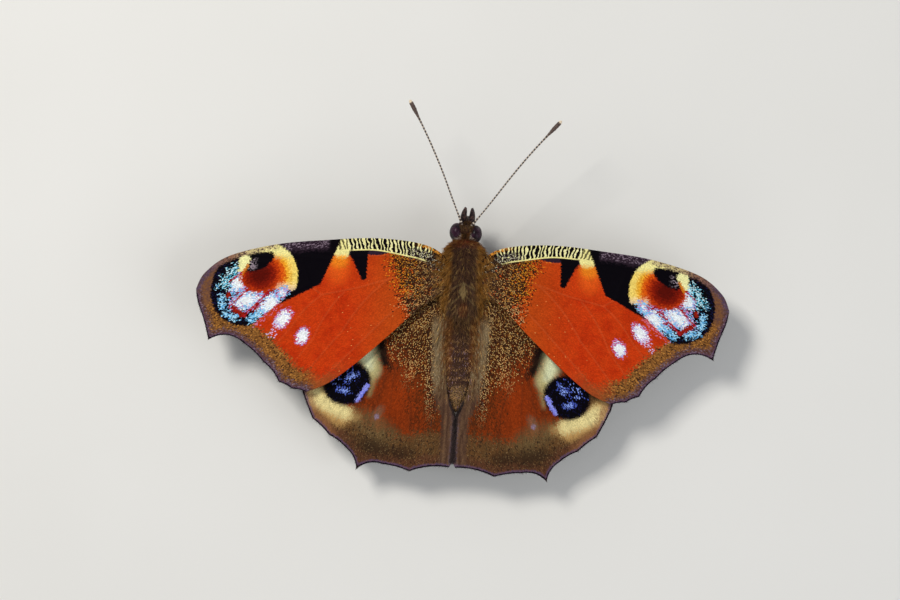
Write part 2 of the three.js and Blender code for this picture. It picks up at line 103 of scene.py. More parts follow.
across = (FRAME_WIDTH / 2 - AXIS_PIXEL[0], FRAME_HEIGHT / 2 - AXIS_PIXEL[1])
view_x = -(across[0] * math.cos(ROLL) + across[1] * math.sin(ROLL)) * PIXEL
view_y = (-across[0] * math.sin(ROLL) + across[1] * math.cos(ROLL)) * PIXEL
camera_data = bpy.data.cameras.new("camera")
camera_data.sensor_width = SENSOR
camera_data.lens = SENSOR * CAMERA_HEIGHT / (FRAME_WIDTH * PIXEL) * LENS_TRIM
camera_data.clip_start = 0.01
camera_data.clip_end = 5.0
camera = bpy.data.objects.new("camera", camera_data)
camera.location = (view_x * MM, (view_y + PLAN_Y) * MM, (CAMERA_HEIGHT + WING_LEVEL) * MM)
camera.rotation_euler = (0, 0, math.pi + ROLL)
bpy.context.scene.collection.objects.link(camera)
bpy.context.scene.camera = camera
bpy.context.scene.view_settings.view_transform = "Standard"


def lamp(name, place, size, watts, colour):
    """A square soft lamp that points at the middle of the wings."""
    data = bpy.data.lights.new(name, "AREA")
    data.shape = "SQUARE"
    data.size = size
    data.energy = watts
    data.color = colour
    lamp_object = bpy.data.objects.new(name, data)
    lamp_object.location = place
    aim = Vector((0, 0, WING_LEVEL * MM)) - Vector(place)
    lamp_object.rotation_euler = aim.to_track_quat("-Z", "Y").to_euler()
    bpy.context.scene.collection.objects.link(lamp_object)


lamp("key", (0.16, -0.16, 0.30), 0.10, 0.95, (1.0, 0.97, 0.92))
lamp("fill", (-0.25, 0.10, 0.22), 0.25, 0.4, (0.93, 0.96, 1.0))
lamp("low", (0.10, 0.30, 0.10), 0.20, 0.2, (1.0, 0.98, 0.95))

world = bpy.data.worlds.new("studio")
bpy.context.scene.world = world
world.use_nodes = True
studio = world.node_tree.nodes["Background"].inputs
studio["Color"].default_value = (0.9, 0.93, 1.0, 1)
studio["Strength"].default_value = 0.3
print("the camera is", CAMERA_HEIGHT, "mm above the wings")

# %% [markdown]
# ## Painting with numbers
# The wing's colours come from some two hundred thousand scales, each of one colour. A shader
# can copy that: it cuts the wing into small cells, asks where the middle of each cell lies on the
# plan, and gives the whole cell one colour. Markings are then plain geometry, such as ellipses
# and tapered strokes. The class below lets such geometry be written as ordinary sums.

# %% A small language for shader nodes


def paint(red, green, blue):
    """A colour as seen on a screen, 0 to 255, made ready for the shader."""
    linear = []
    for channel in (red, green, blue):
        share = channel / 255
        linear.append(share / 12.92 if share <= 0.04045 else ((share + 0.055) / 1.055) ** 2.4)
    return (*linear, 1.0)


class Value:
    """A number worked out by the shader. Sums with it add Math nodes."""

    def __init__(self, shade, socket):
        self.shade = shade
        self.socket = socket

    def sum(self, operation, other=None, swapped=False):
        values = (other, self) if swapped else (self, other)
        return self.shade.math(operation, *[v for v in values if v is not None])

    def __add__(self, other):
        return self.sum("ADD", other)

    __radd__ = __add__

    def __sub__(self, other):
        return self.sum("SUBTRACT", other)

    def __rsub__(self, other):
        return self.sum("SUBTRACT", other, swapped=True)

    def __mul__(self, other):
        return self.sum("MULTIPLY", other)

    __rmul__ = __mul__

    def __truediv__(self, other):
        return self.sum("DIVIDE", other)

    def __abs__(self):
        return self.sum("ABSOLUTE")

    def clamped(self):
        """The number kept between 0 and 1."""
        return self.shade.least(self.shade.most(self, 0.0), 1.0)


class Shade:
    """One material, and the nodes that are added to it."""

    def __init__(self, name):
        self.material = bpy.data.materials.new(name)
        self.material.use_nodes = True
        self.tree = self.material.node_tree
        self.surface = self.tree.nodes["Principled BSDF"]

    def join(self, value, socket):
        """Links a value to a socket, or sets the socket to it."""
        if isinstance(value, Value):
            self.tree.links.new(value.socket, socket)
        else:
            socket.default_value = value

    def node(self, kind, settings=None, **inputs):
        made = self.tree.nodes.new(kind)
        for name, setting in (settings or {}).items():
            setattr(made, name, setting)
        for name, value in inputs.items():
            self.join(value, made.inputs[name])
        return made

    def math(self, operation, *values):
        made = self.tree.nodes.new("ShaderNodeMath")
        made.operation = operation
        for socket, value in zip(made.inputs, values):
            self.join(value, socket)
        return Value(self, made.outputs[0])

    def least(self, a, b):
        return self.math("MINIMUM", a, b)

    def most(self, a, b):
        return self.math("MAXIMUM", a, b)

    def smooth(self, value, low, high):
        """0 below low, 1 above high, and a soft step between."""
        made = self.node("ShaderNodeMapRange", {"interpolation_type": "SMOOTHSTEP"})
        for name, part in (("Value", value), ("From Min", low), ("From Max", high)):
            self.join(part, made.inputs[name])
        return Value(self, made.outputs[0])

    def within(self, distance, soft=0.05):
        """1 where a distance is negative, 0 where it is positive, with a soft edge."""
        return self.smooth(distance, soft, -soft)

    def split(self, vector):
        made = self.node("ShaderNodeSeparateXYZ", Vector=vector)
        return [Value(self, made.outputs[k]) for k in range(3)]

    def vector(self, x=0.0, y=0.0, z=0.0):
        made = self.node("ShaderNodeCombineXYZ", X=x, Y=y, Z=z)
        return Value(self, made.outputs[0])

    def attribute(self, name, output="Fac"):
        made = self.node("ShaderNodeAttribute", {"attribute_name": name})
        return Value(self, made.outputs[output])

    def noise(self, vector, scale, detail=2.0, roughness=0.5):
        made = self.node(
            "ShaderNodeTexNoise", Vector=vector, Scale=scale, Detail=detail, Roughness=roughness
        )
        return Value(self, made.outputs["Fac"])

    def mix(self, amount, below, above):
        """The colour above laid over the colour below."""
        made = self.node("ShaderNodeMix", {"data_type": "RGBA"})
        for socket, value in ((0, amount), (6, below), (7, above)):
            self.join(value, made.inputs[socket])
        return Value(self, made.outputs[2])

    def ellipse(self, point, centre, radii, degrees=0.0):
        """How far out a point is in an ellipse: 0 at its middle and 1 on its edge."""
        x, y = point[0] - centre[0], point[1] - centre[1]
        turn = math.radians(degrees)
        along = (x * math.cos(turn) + y * math.sin(turn)) / radii[0]
        aside = (y * math.cos(turn) - x * math.sin(turn)) / radii[1]
        return self.math("SQRT", along * along + aside * aside)

    def stroke(self, point, start, end, width_start, width_end=None):
        """The distance from a straight stroke with round ends; negative inside it."""
        width_end = width_start if width_end is None else width_end
        run = (end[0] - start[0], end[1] - start[1])
        length = math.hypot(*run)
        x, y = point[0] - start[0], point[1] - start[1]
        share = (x * (run[0] / length**2) + y * (run[1] / length**2)).clamped()
        aside_x, aside_y = x - share * run[0], y - share * run[1]
        away = self.math("SQRT", aside_x * aside_x + aside_y * aside_y)
        return away - (share * (width_end - width_start) + width_start)

    def slope(self, point, corner, degrees):
        """The distance in front of a straight edge through a corner, facing a bearing."""
        turn = math.radians(degrees)
        return (point[0] - corner[0]) * math.cos(turn) + (point[1] - corner[1]) * math.sin(turn)

    def varied(self, colour, low, high, dice):
        """The colour made darker or lighter by a random share between low and high."""
        made = self.node("ShaderNodeHueSaturation", Color=colour, Value=dice * (high - low) + low)
        return Value(self, made.outputs["Color"])

    def place_mm(self):
        """The place on the frame in millimetres."""
        place = Value(self, self.node("ShaderNodeTexCoord").outputs["Object"])
        return [part * (1 / MM) for part in self.split(place)]

    def finish(self, colour, roughness, bump=None, height=0.02, coat=0.0, specular=0.3):
        """Sets the surface. Height is the depth of the bump in millimetres."""
        self.join(colour, self.surface.inputs["Base Color"])
        self.surface.inputs["Roughness"].default_value = roughness
        self.surface.inputs["Specular IOR Level"].default_value = specular
        self.surface.inputs["Coat Weight"].default_value = coat
        if bump is not None:
            made = self.node("ShaderNodeBump", Height=bump, Distance=height * MM)
            made.inputs["Strength"].default_value = 1.0
            self.tree.links.new(made.outputs["Normal"], self.surface.inputs["Normal"])
        return self.material


# %% Floor
floor_shade = Shade("pale floor")
floor_place = Value(floor_shade, floor_shade.node("ShaderNodeTexCoord").outputs["Object"])
floor_cloud = floor_shade.noise(floor_place, 30.0, 3.0)
floor_colour = floor_shade.mix(floor_cloud, paint(222, 221, 216), paint(228, 227, 223))
floor_material = floor_shade.finish(floor_colour, 0.85, specular=0.1)
FLOOR_HALF = 0.6
floor_mesh = bpy.data.meshes.new("floor")
corners = [(x * FLOOR_HALF, y * FLOOR_HALF, 0) for x, y in ((-1, -1), (1, -1), (1, 1), (-1, 1))]
floor_mesh.from_pydata(corners, [], [(0, 1, 2, 3)])
floor_mesh.materials.append(floor_material)
floor = bpy.data.objects.new("floor", floor_mesh)
bpy.context.scene.collection.objects.link(floor)
print("the floor is", 2 * FLOOR_HALF, "m across")

# %% [markdown]
# ## The plan of the wings
# A wing is a sheet between four edges: the root, the leading edge or costa, the inner margin,
# and the scalloped outer margin. A Coons patch fills them, so a point is named by how far out and
# how far across it lies. Veins are drawn in those terms, and each one ends in a tooth of the
# margin. The solids' outlines follow the same plan. Only the hindwings' inner edges lie a little
# closer together here, so that the seam behind the abdomen is as narrow as the real one.

# %% Plan of the wings
ROOT_X = 2.0
FOREWING = {
    "drop": 0.0,
    "root": [(ROOT_X, -3.5), (ROOT_X, 0.1)],
    "costa": [(ROOT_X, -3.5), (3.6, -4.55), (6.2, -5.15), (10.4, -5.35), (15.1, -4.97),
              (20.9, -4.25), (26.3, -2.72), (29.0, -0.7), (29.9, 1.1)],
    "inner": [(ROOT_X, 0.1), (4.4, 1.8), (7.5, 4.85), (11.3, 8.4), (14.6, 11.0), (17.1, 12.15)],
    "margin": [("apex", (29.9, 1.1), -0.12), ("R5", (29.25, 3.6), 0.06), ("M1", (28.3, 6.75), 0.75),
               ("M2", (24.2, 7.05), 0.12), ("M3", (22.0, 9.0), 0.2), ("CuA1", (20.2, 11.15), 0.1),
               ("CuA2", (18.7, 11.85), 0.1), ("tornus", (17.1, 12.15), 0.0)],
    "veins": {
        "Sc": [(0, 0.1), (0.3, 0.045), (0.54, 0)],
        "R": [(0, 0.26), (0.2, 0.19), (0.56, 0.125), (0.8, 0.15)],
        "Cu": [(0, 0.44), (0.2, 0.5), (0.4, 0.49), (0.56, 0.44)],
        "A2": [(0, 0.74), (0.5, 0.88), (0.92, 0.965)],
        "R1": [(0.36, 0.15), (0.55, 0.05), (0.68, 0)],
        "R2": [(0.48, 0.13), (0.68, 0.06), (0.82, 0)],
        "R3": [(0.64, 0.11), (0.82, 0.055), (0.94, 0)],
        "R5": [(0.8, 0.15), (1, "R5")],
        "M1": [(0.56, 0.19), (0.8, 0.25), (1, "M1")],
        "M2": [(0.56, 0.29), (0.8, 0.42), (1, "M2")],
        "M3": [(0.56, 0.44), (0.8, 0.6), (1, "M3")],
        "CuA1": [(0.48, 0.49), (0.75, 0.72), (1, "CuA1")],
        "CuA2": [(0.28, 0.51), (0.6, 0.76), (1, "CuA2")],
        "cell end": [(0.56, 0.125), (0.555, 0.3), (0.56, 0.44)],
    },
}
HINDWING = {
    "drop": 1.25,
    "root": [(ROOT_X, -0.2), (ROOT_X - 0.3, 3.4)],
    "costa": [(ROOT_X, -0.2), (5.5, 0.1), (10.5, 1.9), (14.8, 5.6), (16.9, 8.6), (17.6, 10.4)],
    "inner": [(ROOT_X - 0.3, 3.4), (1.5, 7), (1.2, 11), (0.7, 12.7),
              (0.14, 14), (0.06, 15.2), (0.05, 19), (0.36, 19.98)],
    "margin": [("apex", (17.6, 10.4), -0.1), ("Rs", (17.35, 12.4), -0.05), ("M1", (16.0, 15.5), 0.08),
               ("M2", (14.0, 17.25), 0.12), ("bay", (12.0, 18.6), 0.3), ("M3", (10.75, 20.9), 0.42),
               ("CuA1", (7.9, 20.1), 0.12), ("CuA2", (4.8, 20.72), 0.3), ("anal", (0.4, 19.98), 0.0)],
    "veins": {
        "Sc": [(0, 0.2), (0.4, 0.09), (0.97, 0.012)],
        "R": [(0, 0.36), (0.3, 0.26), (0.485, 0.24)],
        "Cu": [(0, 0.52), (0.3, 0.55), (0.485, 0.52)],
        "A2": [(0, 0.74), (0.4, 0.84), (0.7, 0.88), (0.95, 0.93)],
        "Rs": [(0.36, 0.2), (0.7, 0.12), (1, "Rs")],
        "M1": [(0.485, 0.27), (0.75, 0.26), (1, "M1")],
        "M2": [(0.485, 0.35), (0.75, 0.35), (1, "M2")],
        "M3": [(0.485, 0.47), (0.75, 0.5), (1, "M3")],
        "CuA1": [(0.46, 0.53), (0.75, 0.62), (1, "CuA1")],
        "CuA2": [(0.32, 0.56), (0.65, 0.72), (1, "CuA2")],
        "cell end": [(0.485, 0.24), (0.49, 0.4), (0.485, 0.52)],
    },
}


def spline(points, steps=40):
    """A smooth line through points, as many short steps."""
    p = np.array(points, float)
    p = np.vstack([p[:1], p, p[-1:]])
    line = []
    for a, b, c, d in zip(p[:-3], p[1:-2], p[2:-1], p[3:]):
        for t in np.linspace(0, 1, steps, endpoint=False):
            bend = (2 * a - 5 * b + 4 * c - d) * t * t + (3 * b - a - 3 * c + d) * t**3
            line.append(0.5 * (2 * b + (c - a) * t + bend))
    return np.array(line + [p[-2]])


def along_line(line, share):
    """Points at shares of the length of a line."""
    steps = np.linalg.norm(np.diff(line, axis=0), axis=1)
    length = np.concatenate([[0], np.cumsum(steps)])
    where = np.clip(share, 0, 1) * length[-1]
    return np.stack([np.interp(where, length, line[:, k]) for k in range(line.shape[1])], axis=-1)


def margin_shares(plan):
    """Where each tooth lies along the outer margin, from 0 to 1."""
    tips = np.array([tip for _, tip, _ in plan["margin"]])
    length = np.concatenate([[0], np.cumsum(np.linalg.norm(np.diff(tips, axis=0), axis=1))])
    return length / length[-1]


def margin_point(plan, across, scallop):
    """A point on the scalloped margin. Scallop 0 leaves it straight from tooth to tooth."""
    shares = margin_shares(plan)
    tips = np.array([tip for _, tip, _ in plan["margin"]])
    dips = np.array([dip for _, _, dip in plan["margin"]])
    k = np.clip(np.searchsorted(shares, across, side="right") - 1, 0, len(shares) - 2)
    u = (across - shares[k]) / (shares[k + 1] - shares[k])
    a, b = tips[k], tips[k + 1]
    inwards = np.stack([-(b - a)[..., 1], (b - a)[..., 0]], axis=-1)
    inwards /= np.linalg.norm(inwards, axis=-1, keepdims=True)
    towards_root = np.array(plan["root"][0]) - a
    inwards *= np.sign(np.sum(inwards * towards_root, axis=-1, keepdims=True))
    depth = dips[k] * 4 * u * (1 - u) * scallop
    return a + (b - a) * u[..., None] + inwards * depth[..., None]


def wing_point(plan, out, across):
    """Plan points for shares of the way out and across."""
    out, across = np.broadcast_arrays(np.asarray(out, float), np.asarray(across, float))
    costa, inner = plan["costa line"], plan["inner line"]
    front, back = np.array(plan["root"][0]), np.array(plan["root"][1])
    apex, end = np.array(plan["margin"][0][1]), np.array(plan["margin"][-1][1])
    o, a = out[..., None], across[..., None]
    point = along_line(costa, out) * (1 - a) + along_line(inner, out) * a
    point += (front + (back - front) * a) * (1 - o) + margin_point(plan, across, out**12) * o
    point -= front * (1 - o) * (1 - a) + back * (1 - o) * a + apex * o * (1 - a) + end * o * a
    return point


for plan in (FOREWING, HINDWING):
    plan["costa line"] = spline(plan["costa"])
    plan["inner line"] = spline(plan["inner"])
print("the forewing has", len(FOREWING["veins"]), "veins, the hindwing", len(HINDWING["veins"]))

# %% Heights of the wings
ROOT_Z = 8.0
DROOP = 0.045
DROOP_CURVE = 0.0013
TAIL_DROOP = 0.0042


def wing_height(x, y):
    """The sheet that both pairs of wings hang from; it droops outwards and towards the tail."""
    reach = np.abs(x) - ROOT_X
    return ROOT_Z - DROOP * reach - DROOP_CURVE * reach**2 - TAIL_DROOP * np.maximum(y, 0) ** 2


print("wing tips are", round(wing_height(29.9, 1.1), 1), "mm up")

# %% [markdown]
# ## The membranes
# Each wing is a fine grid, far thinner than its solid, with the same net of points above and
# below. The veins stand out as rounded ribs that thin towards the margin, and the membrane sags
# a little between them. Distances to the veins, to the margins and to the costa are kept as
# attributes, because a shader can't measure them itself.

# %% Wing meshes
ROWS, COLUMNS = ((170, 124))
HALF_THICK = 0.07
THINNEST = 0.012
RIM_REACH = 0.5
VEIN_RISE = 0.1
VEIN_WIDTH = 0.2
VEIN_REACH = 22.0
SAG = 0.1
SAG_REACH = 1.2
ATLAS = 36.0
FORE_LIFT, HIND_LIFT = -0.1, 0.12


def distance_to(points, line):
    """How far each point is from a line of short steps, and how far along it, in millimetres."""
    best = np.full(len(points), 1e9)
    where = np.zeros(len(points))
    start = 0.0
    for a, b in zip(line[:-1], line[1:]):
        step = b - a
        length = np.linalg.norm(step)
        if length < 1e-9:
            continue
        share = np.clip(((points - a) @ step) / length**2, 0, 1)
        away = np.linalg.norm(points - a - share[:, None] * step, axis=1)
        closer = away < best
        best[closer] = away[closer]
        where[closer] = start + share[closer] * length
        start += length
    return best, where


def vein_lines(plan):
    """The veins as lines on the plan."""
    shares = dict(zip([name for name, _, _ in plan["margin"]], margin_shares(plan)))
    lines = {}
    for name, knots in plan["veins"].items():
        knots = np.array([(out, shares.get(across, across)) for out, across in knots], float)
        fine = along_line(knots, np.linspace(0, 1, 24))
        lines[name] = wing_point(plan, fine[:, 0], fine[:, 1])
    return lines


def add_attribute(mesh, name, values):
    """Keeps a number or a direction for each point of a mesh, in place of an older one."""
    if name in mesh.attributes:
        mesh.attributes.remove(mesh.attributes[name])
    kind, part = ("FLOAT_VECTOR", "vector") if values.ndim == 2 else ("FLOAT", "value")
    layer = mesh.attributes.new(name, kind, "POINT")
    layer.data.foreach_set(part, values.astype(np.float32).ravel())


def corner_points(mesh):
    """Which point each corner of each face lies on."""
    corner = np.empty(len(mesh.loops), np.int32)
    mesh.loops.foreach_get("vertex_index", corner)
    return corner


def smooth_mesh(name, points, faces):
    """A mesh with rounded shading, from points in metres."""
    mesh = bpy.data.meshes.new(name)
    mesh.from_pydata(points, [], faces)
    mesh.polygons.foreach_set("use_smooth", np.ones(len(faces), bool))
    return mesh


def add_object(name, mesh):
    made = bpy.data.objects.new(name, mesh)
    bpy.context.scene.collection.objects.link(made)
    return made


def wing_mesh(name, plan, side, lift, turn):
    """One wing as a closed sheet. Lift moves it towards its neighbour, inside its solid."""
    out, across = np.meshgrid(np.linspace(0, 1, ROWS), np.linspace(0, 1, COLUMNS), indexing="ij")
    flat = wing_point(plan, out, across).reshape(-1, 2)
    veins = vein_lines(plan)
    nearest = np.full(len(flat), 9.0)
    rib = np.zeros(len(flat))
    for line in veins.values():
        away, where = distance_to(flat, line)
        nearest = np.minimum(nearest, away)
        taper = 1 - 0.6 * np.clip(where / VEIN_REACH, 0, 1)
        wide = VEIN_WIDTH * (0.6 + 0.6 * taper)
        rib = np.maximum(rib, taper * np.clip(1 - (away / wide) ** 2, 0, 1))
    margin = margin_point(plan, np.linspace(0, 1, 400), np.ones(400))
    edge, _ = distance_to(flat, margin)
    costal, costal_run = distance_to(flat, plan["costa line"])
    inner, _ = distance_to(flat, plan["inner line"])
    rim = np.minimum(np.minimum(edge, costal), inner)
    sag = SAG * np.clip(nearest / SAG_REACH, 0, 1) ** 1.5 * np.clip(rim, 0, 1)
    middle = wing_height(flat[:, 0], flat[:, 1]) - plan["drop"] + lift - sag
    thick = HALF_THICK * (0.25 + 0.75 * np.clip(rim / RIM_REACH, 0, 1))
    thick = np.maximum(thick, THINNEST)
    count = ROWS * COLUMNS
    index = np.arange(count).reshape(ROWS, COLUMNS)
    quads = np.stack([index[:-1, :-1], index[1:, :-1], index[1:, 1:], index[:-1, 1:]], axis=-1)
    quads = quads.reshape(-1, 4)
    ring = np.concatenate([index[0, :-1], index[:-1, -1], index[-1, :0:-1], index[:0:-1, 0]])
    after = np.roll(ring, -1)
    walls = np.stack([ring, ring + count, after + count, after], axis=-1)
    faces = np.concatenate([quads[:, ::-1], quads + count, walls])
    if side < 0:
        faces = faces[:, ::-1]
    heights = np.concatenate([middle + thick + rib * VEIN_RISE, middle - thick - rib * VEIN_RISE])
    both = np.concatenate([flat, flat])
    points = np.column_stack([both[:, 0] * side, both[:, 1], heights])
    mesh = smooth_mesh(name, placed(points, turn, REAR_PIVOT), faces.tolist())
    underside = np.repeat([0, 1, 0], [len(quads), len(quads), len(walls)]).astype(np.int32)
    mesh.polygons.foreach_set("material_index", underside)
    add_attribute(mesh, "plan", np.column_stack([both, np.full(2 * count, 3.0 * side)]))
    measures = {"vein": nearest, "edge": edge, "costal": costal, "costal_run": costal_run, "inner": inner}
    for measure, values in measures.items():
        add_attribute(mesh, measure, np.concatenate([values, values]))
    layer = mesh.uv_layers.new(name="OFBake")
    corner = corner_points(mesh)
    uv = (both[corner] - flat.min(axis=0)) / ATLAS + 0.01
    uv[corner >= count] += (0, 0.5) if plan is FOREWING else (0.5, 0)
    layer.data.foreach_set("uv", uv.astype(np.float32).ravel())
    return add_object(name, mesh)


wings = {}
for side, word in ((1, "left"), (-1, "right")):
    wings["forewing_" + word] = wing_mesh("forewing_sheet_" + word, FOREWING, side, FORE_LIFT, 0.0)
    wings["hindwing_" + word] = wing_mesh("hindwing_sheet_" + word, HINDWING, side, HIND_LIFT, REAR_TURN)
print("wing sheets have", len(wings["forewing_left"].data.vertices), "points each")

# %% [markdown]
# ## Scales
# The cell pattern is a Voronoi texture stretched along the wing, because scales are about twice
# as long as wide and all point outwards. Its position output is the middle of the scale, which
# is turned back to the plan. Each scale also gets random numbers of its own: one decides whether
# it belongs to a dusting of pale scales, another makes it a little lighter or darker.

# %% Scales


class Wing(Shade):
    """A wing material: a shader that knows the scale under each point."""

    def __init__(self, name, bearing, length=0.17, width=0.09):
        super().__init__(name)
        plan = self.attribute("plan", "Vector")
        x, y, self.seed = self.split(plan)
        turn = math.radians(bearing)
        cos, sin = math.cos(turn), math.sin(turn)
        along = (x * cos + y * sin) / length
        aside = (y * cos - x * sin) / width
        cells = self.node(
            "ShaderNodeTexVoronoi",
            {"voronoi_dimensions": "3D", "feature": "F1"},
            Vector=self.vector(along, aside, self.seed),
            Scale=1.0,
            Randomness=0.75,
        )
        self.cell_distance = Value(self, cells.outputs["Distance"])
        centre = self.split(Value(self, cells.outputs["Position"]))
        out, off = centre[0] * length, centre[1] * width
        self.point = (out * cos - off * sin, out * sin + off * cos)
        self.dice = self.split(Value(self, cells.outputs["Color"]))
        self.place = self.vector(*self.point, self.seed)
        self.grain = self.dice[0] - 0.5
        self.cloud = self.noise(self.place, 0.8, 3.0) - 0.5
        self.fine_cloud = self.noise(self.place, 3.0, 2.0) - 0.5

    def dusted(self, share):
        """1 on a share of the scales, picked at random."""
        return self.math("LESS_THAN", self.dice[1], share)

    def speck(self, share):
        """A small bright heart on a share of the scales."""
        return self.math("LESS_THAN", self.dice[2], share) * self.smooth(self.cell_distance, 0.44, 0.3)

    def frayed(self, distance, spread):
        """A distance that differs from scale to scale, so that an edge thins out."""
        return distance + (self.dice[1] - 0.5) * spread

    def lay(self, amount, colour):
        """Paints a colour over what is there."""
        self.colour = self.mix(amount, self.colour, colour)

    def finish_scales(self, darkest, lightest):
        """Gives each scale its own tone and a dark edge, and raises its middle."""
        self.colour = self.varied(self.colour, darkest, lightest, self.dice[0])
        self.lay(self.smooth(self.cell_distance, 0.25, 0.75) * 0.22, paint(10, 4, 4))
        bump = self.smooth(self.cell_distance, 0.7, 0.0) + self.dice[1] * 0.4
        return self.finish(self.colour, 0.75, bump, 0.008, specular=0.04)

    def spot(self, centre, radii, degrees=0.0, ragged=0.15, soft=0.12):
        """An ellipse with a ragged edge of single scales, as a share from 0 to 1."""
        out = self.ellipse(self.point, centre, radii, degrees) + self.grain * ragged
        return self.smooth(out, 1 + soft, 1 - soft)

    def streak(self, start, end, width_start, width_end=None, ragged=0.1, soft=0.05):
        """A stroke with a ragged edge of single scales."""
        away = self.stroke(self.point, start, end, width_start, width_end) + self.grain * ragged
        return self.within(away, soft)


# %% [markdown]
# ## The forewing's pattern
# The markings are laid one over another, as a painter would: red ground, brown border, gold dust
# at the root, the barred costa, the two black patches, and last the eyespot, which is an
# ellipse with all of its parts kept inside it. Places are read off the plan in millimetres.

# %% Forewing pattern
RED = paint(206, 62, 14)
DEEP_RED = paint(190, 48, 8)
ORANGE = paint(232, 92, 24)
BLACK = paint(5, 3, 9)
CREAM = paint(250, 240, 158)
INK_BLUE = paint(16, 20, 58)
DARK_RED = paint(150, 28, 22)
FORE_BEARING, HIND_BEARING = 22, 62


def forewing_material():
    s = Wing("forewing scales", FORE_BEARING)
    x, y = s.point
    vein, edge = s.attribute("vein"), s.attribute("edge")
    costal, run = s.attribute("costal"), s.attribute("costal_run")

    # Ground: red, a little duller near the root and the inner margin.
    s.colour = s.mix(s.smooth(s.cloud, -0.2, 0.25), RED, DEEP_RED)
    s.lay(s.smooth(x, 13.5, 6.5) * 0.55, paint(178, 84, 22))
    s.lay(s.spot((14.1, -2.0), (1.25, 1.7), 0, 0.3, 0.6) * 0.9, ORANGE)
    s.lay(s.spot((14.0, -2.8), (1.0, 0.9), 0, 0.3, 0.5) * 0.8, paint(246, 140, 30))
    s.lay(s.smooth(vein, 0.16, 0.02) * 0.25, paint(206, 96, 50))

    # Outer border: ochre, then purple brown, then a thin dark rim.
    ragged_edge = edge + s.grain * 0.7 + s.cloud * 1.0 + s.fine_cloud * 0.5
    border = s.smooth(ragged_edge, 2.75, 2.05) * s.smooth(x, 15.0, 18.0)
    s.lay(border, s.mix(s.smooth(s.fine_cloud, -0.15, 0.2), paint(148, 98, 46), paint(114, 72, 34)))
    s.lay(border * s.smooth(edge + s.cloud, 1.8, 2.4) * 0.5 * s.dusted(0.5), paint(96, 74, 30))
    s.lay(border * s.dusted(0.16), paint(60, 36, 22))
    s.lay(border * s.math("GREATER_THAN", s.dice[1], 0.86), paint(190, 130, 60))
    by_inner = s.smooth(s.attribute("inner") + s.grain * 0.9 + s.cloud * 1.2, 1.5, 0.5)
    s.lay(by_inner * s.smooth(x, 11.5, 15.5) * 0.6, paint(128, 84, 42))
    purple = s.smooth(edge + s.grain * 0.5 + s.cloud * 0.7 - s.smooth(y, 4.0, 0.0) * 0.1, 1.0, 0.5)
    s.lay(purple, s.mix(s.smooth(s.fine_cloud, -0.1, 0.2), paint(98, 66, 62), paint(76, 48, 42)))
    s.lay(purple * s.dusted(0.22), paint(124, 104, 114))
    s.lay(s.smooth(edge + s.grain * 0.25, 0.36, 0.22) * 0.6, paint(96, 74, 104))
    s.lay(s.smooth(edge + s.grain * 0.1, 0.2, 0.1), paint(24, 14, 24))

    # Root: umber scales dusted with gold, thinning outwards.
    root_line = x + y * 0.3 + s.cloud * 2.6
    umber = s.mix(s.dice[0], paint(38, 22, 16), paint(80, 42, 18))
    s.lay(s.dusted(s.smooth(root_line, 8.6, 5.6) * 0.96), umber)
    specks = s.speck(s.smooth(root_line, 8.6, 6.0) * 0.45)
    speck_colour = s.mix(s.smooth(x + s.grain * 3, 4.5, 6.5), paint(206, 166, 104), paint(240, 156, 36))
    s.lay(specks, s.mix(s.smooth(y, 0.5, 2.5), speck_colour, paint(232, 190, 124)))
    s.lay(s.dusted(s.smooth(x, 4.4, 3.4) * 0.4), paint(60, 44, 38))

    # Costa: cream bars on black over a cream line, then purple grey further out.
    purple_band = costal - 1.9 + s.smooth(run, 8.4, 5.4) * 0.6 + s.smooth(run, 1.5, 0.0) * 0.3
    purple_band = s.within(purple_band + s.grain * 0.15, 0.05) * s.smooth(run, 13.6, 13.2)
    s.lay(purple_band, paint(46, 30, 46))
    below_bars = costal - 1.3 - s.smooth(run, 9.0, 4.0) * 0.35 + s.smooth(run, 11.0, 14.0) * 0.35
    band = s.within(below_bars, 0.03) * s.smooth(run, 13.75, 13.55)
    s.lay(band, BLACK)
    wobble = s.noise(s.vector(run, costal * 0.8, s.seed), 1.6, 2.0) * 0.8
    bars = s.math("SINE", (run + wobble + costal * 0.2) * 14.4)
    bars = s.smooth(bars + s.smooth(run, 10.0, 13.5) * 0.4 + s.fine_cloud, 0.15, 0.45)
    gold = s.smooth(run + s.grain, 4.0, 2.4) * s.smooth(costal + s.grain * 0.2, 0.42, 0.26)
    s.lay(bars * band * s.smooth(run, 1.4, 2.2), s.mix(s.grain + 0.5, CREAM, paint(250, 246, 190)))
    s.lay(gold * s.smooth(run, 0.4, 1.0) * s.dusted(0.6), paint(214, 140, 48))
    inner_end = s.smooth(run, 5.2, 3.6) * s.smooth(costal, 0.5, 0.8) * s.smooth(costal, 2.0, 1.5)
    s.lay(inner_end * s.dusted(0.75), paint(40, 30, 30))
    s.lay(inner_end * s.speck(0.34), paint(214, 206, 178))
    cream_line = s.within(abs(below_bars) - 0.07, 0.04)
    s.lay(cream_line * s.smooth(run, 1.6, 2.4) * s.smooth(run, 11.4, 10.8), CREAM)

    # The small black wedge and the pale bar beyond it.
    pale = s.spot((13.75, -3.95), (0.95, 1.15), 0, 0.15, 0.12)
    s.lay(pale, s.mix(s.smooth(y + s.grain * 0.4, -3.5, -2.9), CREAM, paint(250, 160, 40)))
    s.lay(pale * s.smooth(costal, 1.25, 1.1) * (1 - bars) * 0.85, paint(40, 26, 20))
    s.lay(s.streak((11.75, -3.6), (11.15, -0.95), 1.05, 0.32, 0.12) * s.smooth(costal, 1.36, 1.42), BLACK)

